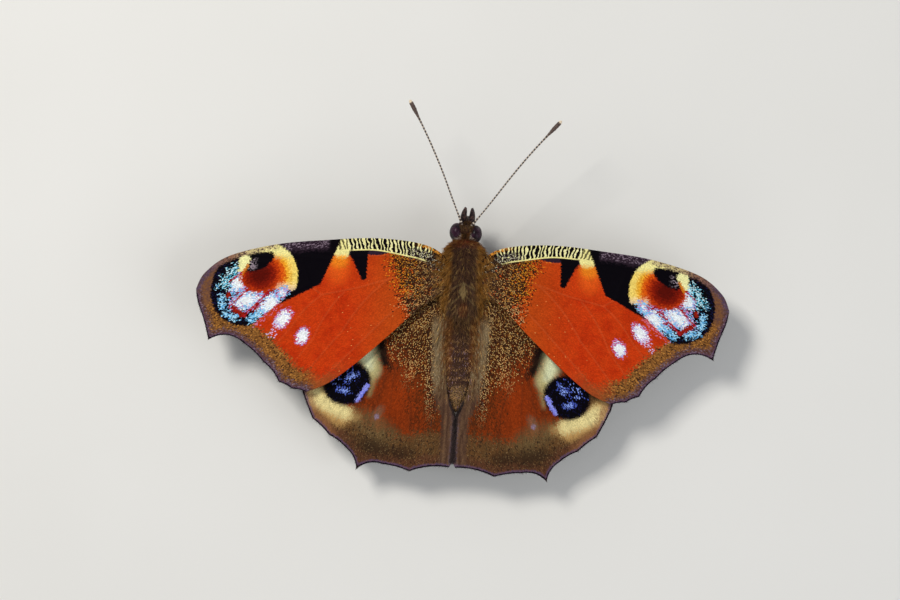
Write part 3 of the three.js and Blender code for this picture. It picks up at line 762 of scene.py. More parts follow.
    # The big black patch, and the purple-grey costa over it.
    patch = s.most(
        s.most(s.slope(s.point, (15.25, -1.6), 158), s.slope(s.point, (17.7, 0.95), 118)),
        s.slope(s.point, (20.6, -2.0), 0),
    )
    patch = s.most(patch, s.slope(s.point, (15.9, 0.0), 140))
    s.lay(s.within(patch + s.grain * 0.1 + s.fine_cloud * 0.15, 0.06), BLACK)
    beyond = s.smooth(run, 13.4, 13.9) * s.smooth(run, 22.0, 19.5)
    s.lay(beyond * s.smooth(costal + s.grain * 0.5, 1.3, 0.8), paint(46, 32, 44))
    s.lay(beyond * s.smooth(costal, 1.0, 0.6) * s.dusted(0.3), paint(128, 110, 124))

    # Tan corner between the eyespot and the wing's tip.
    corner = s.smooth(costal + s.grain * 0.4, 2.6, 1.9) * s.smooth(x, 25.0, 26.0)
    corner = corner * s.smooth(edge + s.grain * 0.3, 0.4, 0.75)
    tan_share = s.smooth(s.fine_cloud + s.grain * 0.4, -0.15, 0.2)
    s.lay(corner, s.mix(tan_share, paint(132, 88, 54), paint(100, 68, 58)))

    # The eyespot: everything in it is kept inside one tilted ellipse, cut off along its lowest band.
    whole = s.ellipse(s.point, (23.4, 0.3), (5.3, 4.3), 42)
    below_band = s.slope(s.point, (19.9, 1.72), 132.4)
    inside = s.smooth(whole + s.grain * 0.03, 1.015, 0.985)
    inside = inside * s.within(s.frayed(below_band + s.grain * 0.12, 0.25), 0.05)
    ground = s.colour
    near_heart = s.frayed(s.ellipse(s.point, (22.6, 0.7), (3.0, 3.4), 30), 0.25)
    dark = s.mix(s.dusted(0.2), BLACK, INK_BLUE)
    s.colour = s.mix(s.smooth(near_heart, 1.0, 0.9), dark, DARK_RED)
    ringed = s.smooth(x + y * 0.1 + s.grain * 0.2, 23.4, 22.6) * s.smooth(y + s.grain * 0.4, 1.0, 0.65)
    ring_tone = s.ellipse(s.point, (22.5, -0.75), (2.3, 2.3), 10) + s.grain * 0.2 + s.fine_cloud * 0.2
    ring = s.mix(s.smooth(ring_tone, 1.54, 1.26), paint(253, 222, 112), paint(248, 182, 48))
    ring = s.mix(s.smooth(ring_tone, 1.3, 1.04), ring, paint(226, 92, 14))
    ring = s.mix(s.smooth(y + s.grain * 0.5, -2.5, -3.3), ring, CREAM)
    beige = s.smooth(y + s.grain * 0.5, -0.2, 0.8) * s.smooth(x, 21.2, 20.5)
    ring = s.mix(beige, ring, paint(246, 214, 170))
    s.lay(ringed, ring)

    # White patches: a white core, then scales of lilac, blue and pink that thin out.
    halo = s.mix(s.math("LESS_THAN", s.dice[2], 0.45), paint(176, 170, 240), paint(128, 196, 240))
    halo = s.mix(s.math("GREATER_THAN", s.dice[2], 0.8), halo, paint(222, 130, 178))
    white = s.mix(s.dice[2], paint(236, 250, 255), paint(255, 255, 255))
    for centre, radii, degrees, core in (
        ((25.15, 0.2), (1.45, 1.0), 52, 0.68),
        ((24.15, 2.15), (2.2, 1.15), 28, 0.55),
        ((21.45, 2.4), (2.1, 0.86), 42, 0.72),
        ((20.2, 1.2), (0.9, 0.6), 42, 0.3),
    ):
        dusting = s.frayed(s.ellipse(s.point, centre, radii, degrees), 0.8)
        s.lay(s.smooth(dusting, 1.02, 0.98), halo)
        s.lay(s.smooth(dusting, core + 0.08, core - 0.08), white)
    # Blue patches on the black.
    blue = s.mix(s.math("LESS_THAN", s.dice[2], 0.5), paint(104, 186, 240), paint(170, 224, 252))
    for start, end, width in (
        ((22.5, 3.3), (23.75, 4.3), 0.4),
        ((26.95, 2.0), (26.85, 3.0), 0.36),
        ((25.2, 4.2), (26.5, 3.9), 0.32),
        ((27.5, 0.7), (27.5, 0.9), 0.16),
    ):
        away = s.frayed(s.stroke(s.point, start, end, width), 0.55)
        s.lay(s.within(away, 0.03) * s.math("LESS_THAN", s.dice[0], 0.85), blue)
    # The speckled crescent outside the pale patch.
    crescent = s.ellipse(s.point, (22.4, 1.3), (5.3, 4.6), 22)
    share = s.smooth(crescent, 0.62, 0.8) * s.smooth(crescent, 1.1, 0.82) * s.smooth(y, 1.7, 0.5)
    share = share * s.smooth(x + y * 0.35, 24.3, 25.1)
    teal = s.mix(s.math("LESS_THAN", s.dice[2], 0.6), paint(92, 196, 228), paint(200, 240, 250))
    s.lay(s.dusted(share * 0.6), teal)

    # The dark red heart with its black cap, and the pale patch beyond it.
    heart = s.ellipse(s.point, (22.75, -0.75), (2.3, 2.0), 16) + s.grain * 0.18 + s.fine_cloud * 0.15
    s.lay(s.smooth(heart, 1.08, 0.95), paint(196, 58, 10))
    s.lay(s.smooth(heart, 1.0, 0.66), paint(134, 25, 6))
    s.lay(s.smooth(heart, 0.75, 0.25) * 0.85, paint(78, 10, 4))
    cap = s.ellipse(s.point, (22.85, -2.2), (1.85, 0.82), 30) + s.grain * 0.16 + s.fine_cloud * 0.2
    s.lay(s.smooth(cap, 1.1, 0.9), BLACK)
    s.lay(s.smooth(cap, 1.0, 0.6) * s.smooth(x, 22.9, 23.6) * s.dusted(0.35), paint(156, 140, 150))
    s.lay(s.spot((23.4, -2.95), (1.2, 0.35), 12, 0.3, 0.2), BLACK)
    s.lay(s.streak((24.55, -2.35), (24.95, -1.2), 0.66, 0.26, 0.3), paint(250, 246, 176))
    s.lay(s.streak((24.15, -1.75), (24.75, -0.75), 0.14, 0.1, 0.2) * 0.85, paint(236, 140, 30))
    # Dark red between the lower patches, and the red veins that part them.
    s.lay(s.streak((24.4, 3.85), (25.6, 3.15), 0.3, 0.3, 0.3), paint(150, 28, 10))
    s.lay(s.streak((26.15, 1.5), (26.25, 1.85), 0.2, 0.18, 0.2), paint(150, 30, 10))
    for start, end, width in (
        ((21.7, 1.05), (24.5, 4.05), 0.09),
        ((24.0, 0.8), (26.1, 3.0), 0.09),
        ((24.9, -0.9), (26.1, 0.15), 0.07),
    ):
        s.lay(s.streak(start, end, width, width, 0.12, 0.05), paint(176, 26, 34))
    s.colour = s.mix(inside, ground, s.colour)
    # Pink scales stray from the lowest band into the red.
    stray = s.smooth(below_band, 0.75, 0.0) * s.smooth(whole, 1.08, 1.0) * s.smooth(below_band, -0.1, 0.05)
    s.lay(s.dusted(stray * 0.4) * s.smooth(x, 19.8, 20.6), paint(214, 120, 150))

    # The costa over the eyespot: a pale line that turns tan, then purple grey.
    over = s.smooth(costal + s.grain * 0.3, 0.62, 0.35) * s.smooth(run, 19.0, 20.0)
    s.lay(over, s.mix(s.smooth(run, 22.0, 25.0), paint(214, 196, 140), paint(150, 108, 86)))
    s.lay(over * s.smooth(run + s.cloud * 2, 25.0, 28.0), paint(92, 72, 92))
    s.lay(over * s.dusted(0.35), paint(90, 66, 62))

    # Two free white spots with lilac dust round them, and the first one's tail.
    for centre, radii, degrees in (((20.05, 4.1), (1.22, 0.72), 50), ((17.72, 5.9), (0.94, 0.64), 62)):
        dusting = s.frayed(s.ellipse(s.point, centre, radii, degrees), 0.62)
        s.lay(s.smooth(dusting, 1.12, 1.04), paint(206, 110, 164))
        s.lay(s.smooth(dusting, 1.0, 0.9), paint(190, 190, 244))
        s.lay(s.smooth(dusting, 0.86, 0.78), paint(250, 254, 255))
    tail = s.frayed(s.stroke(s.point, (20.6, 4.8), (21.3, 5.9), 0.3, 0.1), 0.9)
    s.lay(s.within(tail, 0.02) * s.math("LESS_THAN", s.dice[2], 0.6), paint(216, 190, 230))
    # A few pale flecks stray over the red.
    flecks = s.speck(0.008) * s.smooth(s.cloud, -0.05, 0.1) * s.smooth(x + y, 8.0, 9.0)
    s.lay(flecks * s.smooth(y, -1.0, 0.0) * s.smooth(x, 15.0, 13.5) * 0.9, paint(248, 176, 96))
    return s.finish_scales(0.82, 1.12)


# %% [markdown]
# ## The hindwing's pattern
# The hindwing is rust red with gold dust along the body, a blue and black eyespot between two
# cream crescents, and a broad brown border. Only the part that the forewing leaves free shows.

# %% Hindwing pattern


def hindwing_material():
    s = Wing("hindwing scales", HIND_BEARING)
    x, y = s.point
    vein, edge, inner = s.attribute("vein"), s.attribute("edge"), s.attribute("inner")
    streaks = s.noise(s.vector(x * 3.2, y * 0.35, s.seed), 1.0, 3.0) - 0.5

    s.colour = s.mix(s.smooth(streaks + s.grain * 0.3, -0.25, 0.3), paint(100, 40, 12), paint(140, 54, 14))
    s.lay(s.spot((6.6, 12.2), (1.6, 3.0), -14, 0.3, 0.9) * 0.55, paint(158, 56, 10))
    s.lay(s.smooth(streaks + s.fine_cloud, 0.1, 0.35) * 0.35, paint(84, 38, 16))
    s.lay(s.smooth(x + y * 0.5 + s.grain * 2, 12.5, 8.5) * 0.6, paint(98, 48, 16))
    s.lay(s.dusted(s.smooth(x + y * 0.3, 10.5, 6.5) * 0.3), paint(78, 38, 14))

    # Brown border with darker clouds, a lilac line and a dark rim.
    ragged = edge + s.grain * 0.9 + s.cloud * 1.8 + streaks * 1.2
    brown = s.mix(s.smooth(streaks, -0.2, 0.25), paint(92, 66, 38), paint(106, 72, 40))
    s.lay(s.smooth(ragged, 4.4, 3.2), brown)
    s.lay(s.smooth(edge + s.cloud * 0.8 + s.grain * 0.5, 1.7, 0.9), paint(92, 58, 38))
    s.lay(s.spot((8.8, 18.2), (2.2, 1.0), -12, 0.5, 0.6) * 0.8, paint(50, 36, 24))
    s.lay(s.spot((5.7, 18.7), (1.4, 0.7), 0, 0.5, 0.6) * 0.7, paint(50, 32, 22))
    s.lay(s.spot((9.0, 15.9), (2.4, 1.3), -30, 0.4, 0.6) * 0.6, paint(112, 92, 58))
    s.lay(s.dusted(0.12) * s.smooth(ragged, 4.4, 3.2), paint(52, 36, 24))
    s.lay(s.speck(0.1) * s.smooth(ragged, 4.6, 3.4) * 0.6, paint(136, 112, 76))

    # Umber root dusted with gold, running down beside the abdomen.
    root_line = y * 0.55 + x * 0.42 + s.cloud * 2.0
    umber = s.mix(s.dice[0], paint(40, 24, 16), paint(86, 44, 16))
    s.lay(s.dusted(s.smooth(root_line, 8.4, 5.6) * 0.95), umber)
    specks = s.speck(s.smooth(root_line, 8.8, 5.4) * 0.38)
    s.lay(specks, s.mix(s.dice[0], paint(236, 202, 136), paint(190, 138, 62)))
    beside = s.smooth(abs(x - 3.35 + y * 0.035) + s.grain * 0.4, 0.75, 0.3) * s.smooth(y, 16.0, 11.5)
    s.lay(beside * s.dusted(0.6), paint(48, 28, 18))
    s.lay(beside * s.speck(0.45), paint(232, 190, 124))
    second = s.spot((5.2, 8.4), (0.7, 2.2), -12, 0.6, 0.7)
    s.lay(second * s.speck(0.4), paint(226, 180, 112))

    # Hairy buff strip along the abdomen, turning purple brown towards the tail.
    strip = s.smooth(inner + s.grain * 0.5 + streaks * 0.8, 1.75, 1.25)
    strip = strip * s.smooth(y, 2.6, 4.6)
    rear_strip = s.mix(s.smooth(streaks, -0.15, 0.2), paint(76, 52, 40), paint(108, 80, 58))
    s.lay(strip, s.mix(s.smooth(y, 9.0, 13.0), paint(134, 112, 80), rear_strip))
    s.lay(strip * s.dusted(0.2) * s.smooth(y, 12.0, 10.0), paint(150, 130, 100))
    s.lay(s.smooth(inner + s.grain * 0.4, 0.5, 0.15) * s.smooth(y, 13.0, 16.0) * 0.75, paint(108, 90, 98))

    # Eyespot: dark crescent, cream crescent, then the black pupil and its blue dust.
    s.lay(s.streak((9.3, 5.6), (8.3, 8.7), 0.8, 0.5, 0.4, 0.35), paint(26, 14, 10))
    s.lay(s.streak((8.5, 7.4), (7.6, 9.4), 0.3, 0.15, 0.5, 0.3) * 0.8, paint(40, 24, 14))
    cream = s.mix(s.smooth(s.grain, -0.4, 0.4), paint(204, 204, 148), paint(220, 222, 170))
    s.lay(s.streak((10.7, 7.0), (9.7, 9.6), 1.0, 0.7, 0.2, 0.8), cream)
    s.lay(s.streak((9.6, 9.4), (9.8, 12.4), 0.75, 0.02, 0.3, 0.6) * 0.85, paint(180, 166, 110))
    s.lay(s.streak((10.6, 7.2), (10.0, 9.2), 0.6, 0.4, 0.4, 0.6), paint(228, 232, 188))
    s.lay(s.streak((11.2, 15.0), (13.4, 14.5), 0.55, 1.0, 0.5, 0.5) * 0.8, paint(170, 136, 84))
    s.lay(s.streak((13.0, 14.9), (17.0, 12.3), 1.25, 1.3, 0.6, 0.5), paint(190, 148, 88))
    s.lay(s.streak((12.4, 14.6), (16.0, 13.0), 0.75, 1.05, 0.6, 0.5), paint(236, 218, 152))
    s.lay(s.streak((16.2, 13.0), (17.2, 11.0), 0.5, 0.5, 0.5, 0.4) * 0.7, paint(206, 176, 118))
    by_rim = s.smooth(edge + s.grain * 0.5 + streaks, 1.5, 0.5)
    s.lay(by_rim * s.smooth(x, 12.5, 14.0) * 0.7, paint(150, 100, 64))
    pupil = s.spot((12.35, 11.3), (2.74, 2.4), 28, 0.08, 0.1)
    under = s.colour
    s.colour = s.mix(s.dusted(0.1), BLACK, paint(14, 16, 52))
    for centre, radii, degrees, share in (
        ((11.9, 10.5), (1.0, 0.6), 40, 0.6),
        ((12.65, 12.15), (0.85, 0.42), -8, 0.7),
        ((13.6, 11.1), (0.9, 0.4), 10, 0.16),
        ((13.3, 10.2), (1.5, 0.6), 38, 0.22),
    ):
        dusting = s.frayed(s.ellipse(s.point, centre, radii, degrees), 0.9)
        speckled = s.smooth(dusting, 0.95, 0.85) * s.math("LESS_THAN", s.dice[2], share)
        s.lay(speckled, s.mix(s.smooth(dusting, 0.7, 0.3), paint(66, 84, 176), paint(140, 166, 244)))
    violet = s.mix(s.dice[2], paint(114, 118, 232), paint(168, 176, 248))
    s.lay(s.streak((10.13, 11.45), (11.12, 13.15), 0.25, 0.23, 0.25, 0.05), violet)
    s.colour = s.mix(pupil, under, s.colour)

    # The small lilac dot in the brown, with a pale shadow above it.
    s.lay(s.spot((8.8, 14.8), (0.26, 0.3), 0, 0.5, 0.3), paint(150, 130, 166))
    s.lay(s.spot((8.7, 14.4), (0.5, 0.9), -30, 0.6, 0.5) * 0.5, paint(126, 100, 76))

    s.lay(s.smooth(edge + s.grain * 0.2, 0.42, 0.24) * 0.7, paint(100, 80, 112))
    s.lay(s.smooth(edge + s.grain * 0.08, 0.22, 0.12), paint(20, 12, 20))
    s.lay(s.smooth(vein, 0.18, 0.03) * (1 - pupil) * 0.22, paint(60, 36, 22))

    return s.finish_scales(0.8, 1.14)


# %% [markdown]
# ## The underside
# Below, the wings are nearly black, with fine wavy lines that break the animal's outline when
# the wings are shut. A noise that is squeezed along the wing draws them.

# %% Underside


def underside_material(name, bearing):
    s = Wing(name, bearing)
    x, y = s.point
    edge = s.attribute("edge")
    waves = s.noise(s.vector(x * 1.6 + y * 0.4, y * 0.5, s.seed), 1.5, 3.0)
    lines = s.math("SINE", (edge * 1.6 + waves * 5.0) * 6.0)
    s.colour = s.mix(s.smooth(lines, -0.4, 0.8), paint(20, 16, 15), paint(86, 70, 60))
    s.lay(s.smooth(edge + s.cloud, 6.2, 5.6) * s.smooth(edge + s.cloud, 4.4, 5.0) * 0.6, paint(12, 9, 9))
    s.lay(s.smooth(edge + s.grain * 0.3, 1.2, 0.7) * 0.7, paint(58, 50, 48))
    s.lay(s.dice[0] * 0.3, paint(0, 0, 0))
    bump = s.smooth(s.cell_distance, 0.7, 0.0) + s.dice[1] * 0.5
    return s.finish(s.colour, 0.6, bump, 0.012, specular=0.25)


fore_top, hind_top = forewing_material(), hindwing_material()
fore_under = underside_material("forewing underside", FORE_BEARING)
hind_under = underside_material("hindwing underside", HIND_BEARING)
for node, sheet in wings.items():
    top, below = (fore_top, fore_under) if node.startswith("fore") else (hind_top, hind_under)
    sheet.data.materials.append(top)
    sheet.data.materials.append(below)
    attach(sheet, "root")
    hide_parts(node)
print("the forewing's finish has", len(fore_top.node_tree.nodes), "shader nodes")

# %% [markdown]
# ## Body, head and hair
# The body is one skin, lofted through ellipses from the face to the tip of the abdomen. It stays
# inside the solids by the depth of the hair. Each hair tuft is a few thin blades, and a Geometry
# Nodes tree plants them: points are scattered over the skin where its coat attribute is high,
# and each tuft leans along the skin's flow attribute, as real hair lies towards the tail.

# %% Lofts and tubes


def loft_rings(centres, frames, radii, steps, name):
    """A closed skin through elliptical rings. Frames give each ring's two directions."""
    turns = np.linspace(0, 2 * math.pi, steps, endpoint=False)
    rings = []
    for centre, (side, up), (wide, tall) in zip(centres, frames, radii):
        rings.append(centre + np.outer(np.cos(turns) * wide, side) + np.outer(np.sin(turns) * tall, up))
    points = np.concatenate(rings + [centres[:1], centres[-1:]])
    index = np.arange(len(rings) * steps).reshape(len(rings), steps)
    turned_index = np.roll(index, -1, axis=1)
    quads = np.stack([index[:-1], index[1:], turned_index[1:], turned_index[:-1]], axis=-1)
    faces = quads.reshape(-1, 4).tolist()
    first, last = len(points) - 2, len(points) - 1
    faces += [(first, int(a), int(b)) for a, b in zip(index[0], turned_index[0])]
    faces += [(last, int(b), int(a)) for a, b in zip(index[-1], turned_index[-1])]
    mesh = smooth_mesh(name, (points * MM).tolist(), faces)
    layer = mesh.uv_layers.new(name="OFBake")
    count = len(rings)
    for polygon in mesh.polygons:
        corners = [mesh.loops[k].vertex_index for k in polygon.loop_indices]
        columns = [c % steps for c in corners if c < first]
        wraps = max(columns) - min(columns) > steps / 2
        for k, corner in zip(polygon.loop_indices, corners):
            column = corner % steps
            row = corner // steps
            if corner >= first:
                row = -0.5 if corner == first else count - 0.5
                column = columns[0] + 0.5 + (steps if wraps and columns[0] < steps / 2 else 0)
            elif wraps and column < steps / 2:
                column += steps
            layer.data[k].uv = (0.01 + 0.97 * column / (steps + 1), 0.02 + 0.95 * (row + 0.5) / count)
    return mesh


def tube(name, path, radii, steps=12, flat=1.0, up=(0, 0, 1)):
    """A tube along a path in frame millimetres. Flat squeezes it along its up direction."""
    path = np.array(path, float)
    ahead = np.gradient(path, axis=0)
    ahead /= np.linalg.norm(ahead, axis=1)[:, None]
    frames = []
    above = np.array(up, float)
    for direction in ahead:
        above = above - direction * (above @ direction)
        above /= np.linalg.norm(above)
        frames.append((np.cross(above, direction), above.copy()))
    return loft_rings(path, frames, [(r, r * flat) for r in radii], steps, name)


def plan_path(knots, turn=0.0, pivot_y=0.0, steps=20, side=1):
    """A smooth path through plan points, as frame millimetres."""
    line = spline(knots, steps)
    line[:, 0] *= side
    return placed(line, turn, pivot_y) / MM


# %% Body skin
# Stations along the body: y, half its width, half its height, and the height of its middle.
BODY = [
    (-7.45, 0.05, 0.05, 5.8), (-7.36, 0.5, 0.55, 5.85), (-7.1, 0.78, 0.95, 6.0), (-6.7, 0.92, 1.15, 6.12),
    (-6.3, 0.92, 1.05, 6.15), (-6.0, 0.7, 0.72, 6.1), (-5.75, 0.85, 0.85, 6.1), (-5.4, 1.25, 1.2, 6.2),
    (-4.6, 1.8, 1.68, 6.4), (-3.6, 2.12, 1.98, 6.48), (-2.4, 2.38, 2.2, 6.5), (-0.2, 2.38, 2.15, 6.4),
    (1.0, 2.28, 2.05, 6.3), (1.8, 2.1, 1.9, 6.2), (2.7, 1.85, 1.65, 6.12), (3.3, 1.68, 1.4, 6.07),
    (3.75, 1.65, 1.35, 6.04), (4.3, 1.72, 1.42, 6.0), (5.2, 1.85, 1.55, 5.95), (7.4, 1.86, 1.62, 5.75),
    (9.6, 1.64, 1.44, 5.5), (11.4, 1.28, 1.15, 5.25), (12.6, 0.95, 0.86, 5.05), (13.15, 0.58, 0.54, 4.95),
    (13.38, 0.22, 0.2, 4.92), (13.44, 0.03, 0.03, 4.92),
]
SEGMENTS = 9
SEGMENT_STEP = 0.05
THINNEST_BODY = 0.02
ABDOMEN_START, ABDOMEN_END = 3.9, 13.4
body_line = spline([(y, w, h, z) for y, w, h, z in BODY], 7)
body_y = body_line[:, 0]
segment = np.clip((body_y - ABDOMEN_START) / (ABDOMEN_END - ABDOMEN_START), 0, 0.999) * SEGMENTS
along_segment = segment % 1.0
step_out = SEGMENT_STEP * np.minimum(along_segment * 1.25, (1 - along_segment) * 5)
step_out = np.where(body_y > ABDOMEN_START, step_out, 0)
centres, frames, radii = [], [], []
for (y, wide, tall, z), swell in zip(body_line, step_out):
    centre = np.array([[0.0, y, z]])
    if y < HEAD_PIVOT:
        turn, pivot = HEAD_TURN, HEAD_PIVOT
    elif y > REAR_PIVOT:
        turn, pivot = REAR_TURN, REAR_PIVOT
    else:
        turn, pivot = 0.0, 0.0
    centres.append(placed(centre, turn, pivot)[0] / MM)
    frames.append((np.array([math.cos(turn), math.sin(turn), 0]), np.array([0, 0, 1.0])))
    radii.append([max(half, THINNEST_BODY) * (1 + swell) for half in (wide, tall)])
skin_mesh = loft_rings(np.array(centres), frames, radii, 72, "body_skin")
skin = add_object("body_skin", skin_mesh)
print("body skin has", len(skin_mesh.polygons), "faces")

# %% Skin finish
AMBER = paint(136, 86, 26)
RUSSET = paint(100, 46, 20)
DARK_FUR = paint(66, 40, 36)
TAN_HAIR = paint(164, 140, 94)


def body_colour(s, x, y):
    """Where the body is amber, russet or dark, from the place on the frame in millimetres."""
    # The thorax: dark along its back and amber at its sides, with a russet collar.
    out = abs(x)
    wander = s.noise(s.vector(x, y, 0.0), 1.3, 3.0) - 0.5
    colour = s.mix(s.smooth(out + wander * 0.9 - s.smooth(y, -1.0, 2.5) * 0.3, 1.1, 1.8), DARK_FUR, AMBER)
    colour = s.mix(s.smooth(y + wander, -4.6, -5.4), colour, RUSSET)
    # The pale kite between the wings, a rust spot behind it, and two pale V lines.
    shield = out * 1.9 + abs(y - (0.2 + PLAN_Y)) * 0.95 + wander * 0.5
    colour = s.mix(s.smooth(shield, 1.15, 0.75) * 0.8, colour, TAN_HAIR)
    rust = s.ellipse((x, y), (-0.1, 2.3 + PLAN_Y), (0.6, 1.0)) + wander * 0.6
    colour = s.mix(s.smooth(rust, 1.1, 0.6) * 0.6, colour, paint(116, 50, 24))
    for corner, fall in ((-0.75, 0.55), (0.35, 1.0)):
        side_v = s.within(abs(out * fall + (corner + PLAN_Y) - y) - 0.1 + wander * 0.2, 0.12)
        colour = s.mix(side_v * s.smooth(out, 1.6, 1.2) * 0.45, colour, TAN_HAIR)
    # The abdomen, with its mottled gold tip.
    behind = s.smooth(y + wander * 0.5, 2.6, 3.6)
    belly = s.mix(s.smooth(out + wander * 0.5, 0.7, 1.4), paint(66, 40, 30), paint(116, 66, 28))
    colour = s.mix(behind, colour, belly)
    colour = s.mix(s.smooth(y + wander, 7.5, 10.0) * 0.7, colour, paint(70, 46, 38))
    tip_gold = s.smooth(y + wander * 0.6, 10.4 + PLAN_Y, 11.4 + PLAN_Y) * s.smooth(out, 1.1, 0.7)
    mottle = s.smooth(s.noise(s.vector(x, y, 0.0), 7.0, 2.0), 0.42, 0.56)
    colour = s.mix(tip_gold * 0.9, colour, s.mix(mottle, paint(74, 50, 40), paint(164, 130, 84)))
    # The head, darkest in front.
    face = s.smooth(y + wander * 0.3, -5.6, -6.1)
    head_colour = s.mix(s.smooth(wander, -0.1, 0.25), paint(52, 30, 30), paint(136, 84, 46))
    colour = s.mix(face, colour, head_colour)
    return s.mix(s.smooth(y, -6.7 + PLAN_Y, -7.1 + PLAN_Y) * 0.8, colour, paint(44, 28, 34))


def skin_material_with_painted_shade():
    s = Shade("body skin")
    x, y, z = s.place_mm()
    colour = body_colour(s, x, y)
    grain = s.noise(s.vector(x, y, z), 9.0, 3.0)
    # Noisy patches darkened towards near-black are painted shade, so the gaps between the tufts look deep.
    colour = s.mix(s.smooth(grain, 0.35, 0.65) * 0.5, colour, paint(30, 16, 12))
    return s.finish(colour, 0.8, grain, 0.08, specular=0.15)


skin.data.materials.append(skin_material_with_painted_shade())
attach(skin, "root")
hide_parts("head", "thorax", "abdomen")

# %% [markdown]
# ## Compound eyes
# A butterfly's eye is a dome of small six-sided lenses. Geometry Nodes make them: the dual of a
# fine icosphere has a six-sided face round each point, and every face is raised a little in its
# middle. The finish is dark and glossy, and the purple-brown patches in its colour are a painted
# reflection.

# %% Compound eyes
EYE_CENTRE = (1.05, -6.36, 6.1)
EYE_RADII = (0.76, 1.0, 1.16)
LENS_SPLITS = 5
LENS_DOME = 0.018
LENS_TOP = 0.62


def node_in(tree, kind, settings=None, **inputs):
    """Adds a node to a tree, with its settings and inputs."""
    made = tree.nodes.new(kind)
    for name, setting in (settings or {}).items():
        setattr(made, name, setting)
    for name, value in inputs.items():
        socket = made.inputs[name.replace("_", " ")]
        if isinstance(value, bpy.types.NodeSocket):
            tree.links.new(value, socket)
        else:
            socket.default_value = value
    return made


def new_tree(name, sockets):
    """A Geometry Nodes tree with named inputs and one geometry output."""
    tree = bpy.data.node_groups.new(name, "GeometryNodeTree")
    for socket, kind in sockets:
        tree.interface.new_socket(socket, in_out="INPUT", socket_type=kind)
    tree.interface.new_socket("Geometry", in_out="OUTPUT", socket_type="NodeSocketGeometry")
    return tree, tree.nodes.new("NodeGroupInput").outputs, tree.nodes.new("NodeGroupOutput").inputs


def grown(name, carrier, tree, **settings):
    """Runs a tree on a carrier object and returns its result as a plain mesh."""
    modifier = carrier.modifiers.new("grow", "NODES")
    modifier.node_group = tree
    for item in tree.interface.items_tree:
        key = item.name.replace(" ", "_")
        if item.in_out == "INPUT" and key in settings:
            modifier[item.identifier] = settings[key]
    evaluated = carrier.evaluated_get(bpy.context.evaluated_depsgraph_get())
    mesh = bpy.data.meshes.new_from_object(evaluated)
    mesh.name = name
    carrier.modifiers.remove(modifier)
    return mesh


def lens_tree():
    tree, given, result = new_tree("lenses", [
        ("Geometry", "NodeSocketGeometry"), ("Splits", "NodeSocketInt"), ("Dome", "NodeSocketFloat"),
        ("Finish", "NodeSocketMaterial"),
    ])
    ball = node_in(tree, "GeometryNodeMeshIcoSphere", Radius=1.0, Subdivisions=given["Splits"])
    dual = node_in(tree, "GeometryNodeDualMesh", Mesh=ball.outputs["Mesh"])
    raised = node_in(tree, "GeometryNodeExtrudeMesh", {"mode": "FACES"}, Mesh=dual.outputs[0],
                     Offset_Scale=given["Dome"])
    raised.inputs["Individual"].default_value = True
    shrink = node_in(tree, "GeometryNodeScaleElements", Geometry=raised.outputs["Mesh"],
                     Selection=raised.outputs["Top"], Scale=LENS_TOP)
    real = node_in(tree, "GeometryNodeRealizeInstances", Geometry=shrink.outputs[0])
    done = node_in(tree, "GeometryNodeSetMaterial", Geometry=real.outputs[0], Material=given["Finish"])
    tree.links.new(done.outputs[0], result["Geometry"])
    return tree


def eye_material_with_painted_reflection():
    s = Shade("compound eye")
    x, y, z = s.place_mm()
    cloud = s.noise(s.vector(x, y, z), 1.6, 3.0)
    bands = s.noise(s.vector(x * 0.6, y * 0.6, z * 3.0), 1.4, 2.0)
    # The purple-brown patches are a painted reflection on the dark eye.
    colour = s.mix(s.smooth(cloud, 0.35, 0.65), paint(16, 8, 13), paint(60, 28, 48))
    colour = s.mix(s.smooth(bands, 0.5, 0.7) * 0.5, colour, paint(12, 7, 9))
    return s.finish(colour, 0.34, coat=0.1, specular=0.35)


eye_painted_reflection_finish = eye_material_with_painted_reflection()
lenses = lens_tree()
for side, word in ((1, "left"), (-1, "right")):
    carrier = add_object("eye_carrier_" + word, bpy.data.meshes.new("carrier"))
    mesh = grown("eye_lenses_" + word, carrier, lenses, Splits=LENS_SPLITS, Dome=LENS_DOME,
                 Finish=eye_painted_reflection_finish)
    bpy.data.objects.remove(carrier)
    points = np.empty(len(mesh.vertices) * 3)
    mesh.vertices.foreach_get("co", points)
    points = points.reshape(-1, 3) * EYE_RADII + np.array(EYE_CENTRE) * (side, 1, 1)
    mesh.vertices.foreach_set("co", placed(points, HEAD_TURN, HEAD_PIVOT).ravel())
    mesh.update()
    eye = add_object("eye_lenses_" + word, mesh)
    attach(eye, "root")
    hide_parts("eye_" + word)
print("each eye has", len(mesh.polygons), "faces")

# %% [markdown]
# ## Palps and tongue
# Two palps stand forward from the face and curve up, thick with dark scales. Below them the
# tongue is wound like a watch spring. Both are tubes along a path, the tongue with a ring on
# every turn of its flexible wall.

# %% Palps and tongue
PALP_PATH = [(0.5, -7.05, 5.35), (0.47, -7.8, 5.45), (0.46, -8.5, 5.8), (0.37, -9.2, 6.3)]
TONGUE_CENTRE = (0.0, -7.35, 3.95)
TONGUE_TURNS = 2.2
TONGUE_RINGS = 90
TONGUE_WIDEST, TONGUE_NARROWS = 0.98, 0.78


def horn_material(name, dark, pale, scale, roughness=0.5, bump=0.03):
    """Dark horn with paler scales on it."""
    s = Shade(name)
    x, y, z = s.place_mm()
    cells = s.node("ShaderNodeTexVoronoi", Vector=s.vector(x, y, z), Scale=scale, Randomness=1.0)
    dice = s.split(Value(s, cells.outputs["Color"]))
    away = Value(s, cells.outputs["Distance"])
    cloud = s.noise(s.vector(x, y, z), 1.2, 3.0)
    colour = s.mix(s.math("LESS_THAN", dice[0], s.smooth(cloud, 0.3, 0.7) * 0.6), dark, pale)
    colour = s.mix(dice[1] * 0.35, colour, paint(8, 5, 5))
    return s.finish(colour, roughness, s.smooth(away, 0.6, 0.0), bump, specular=0.3)


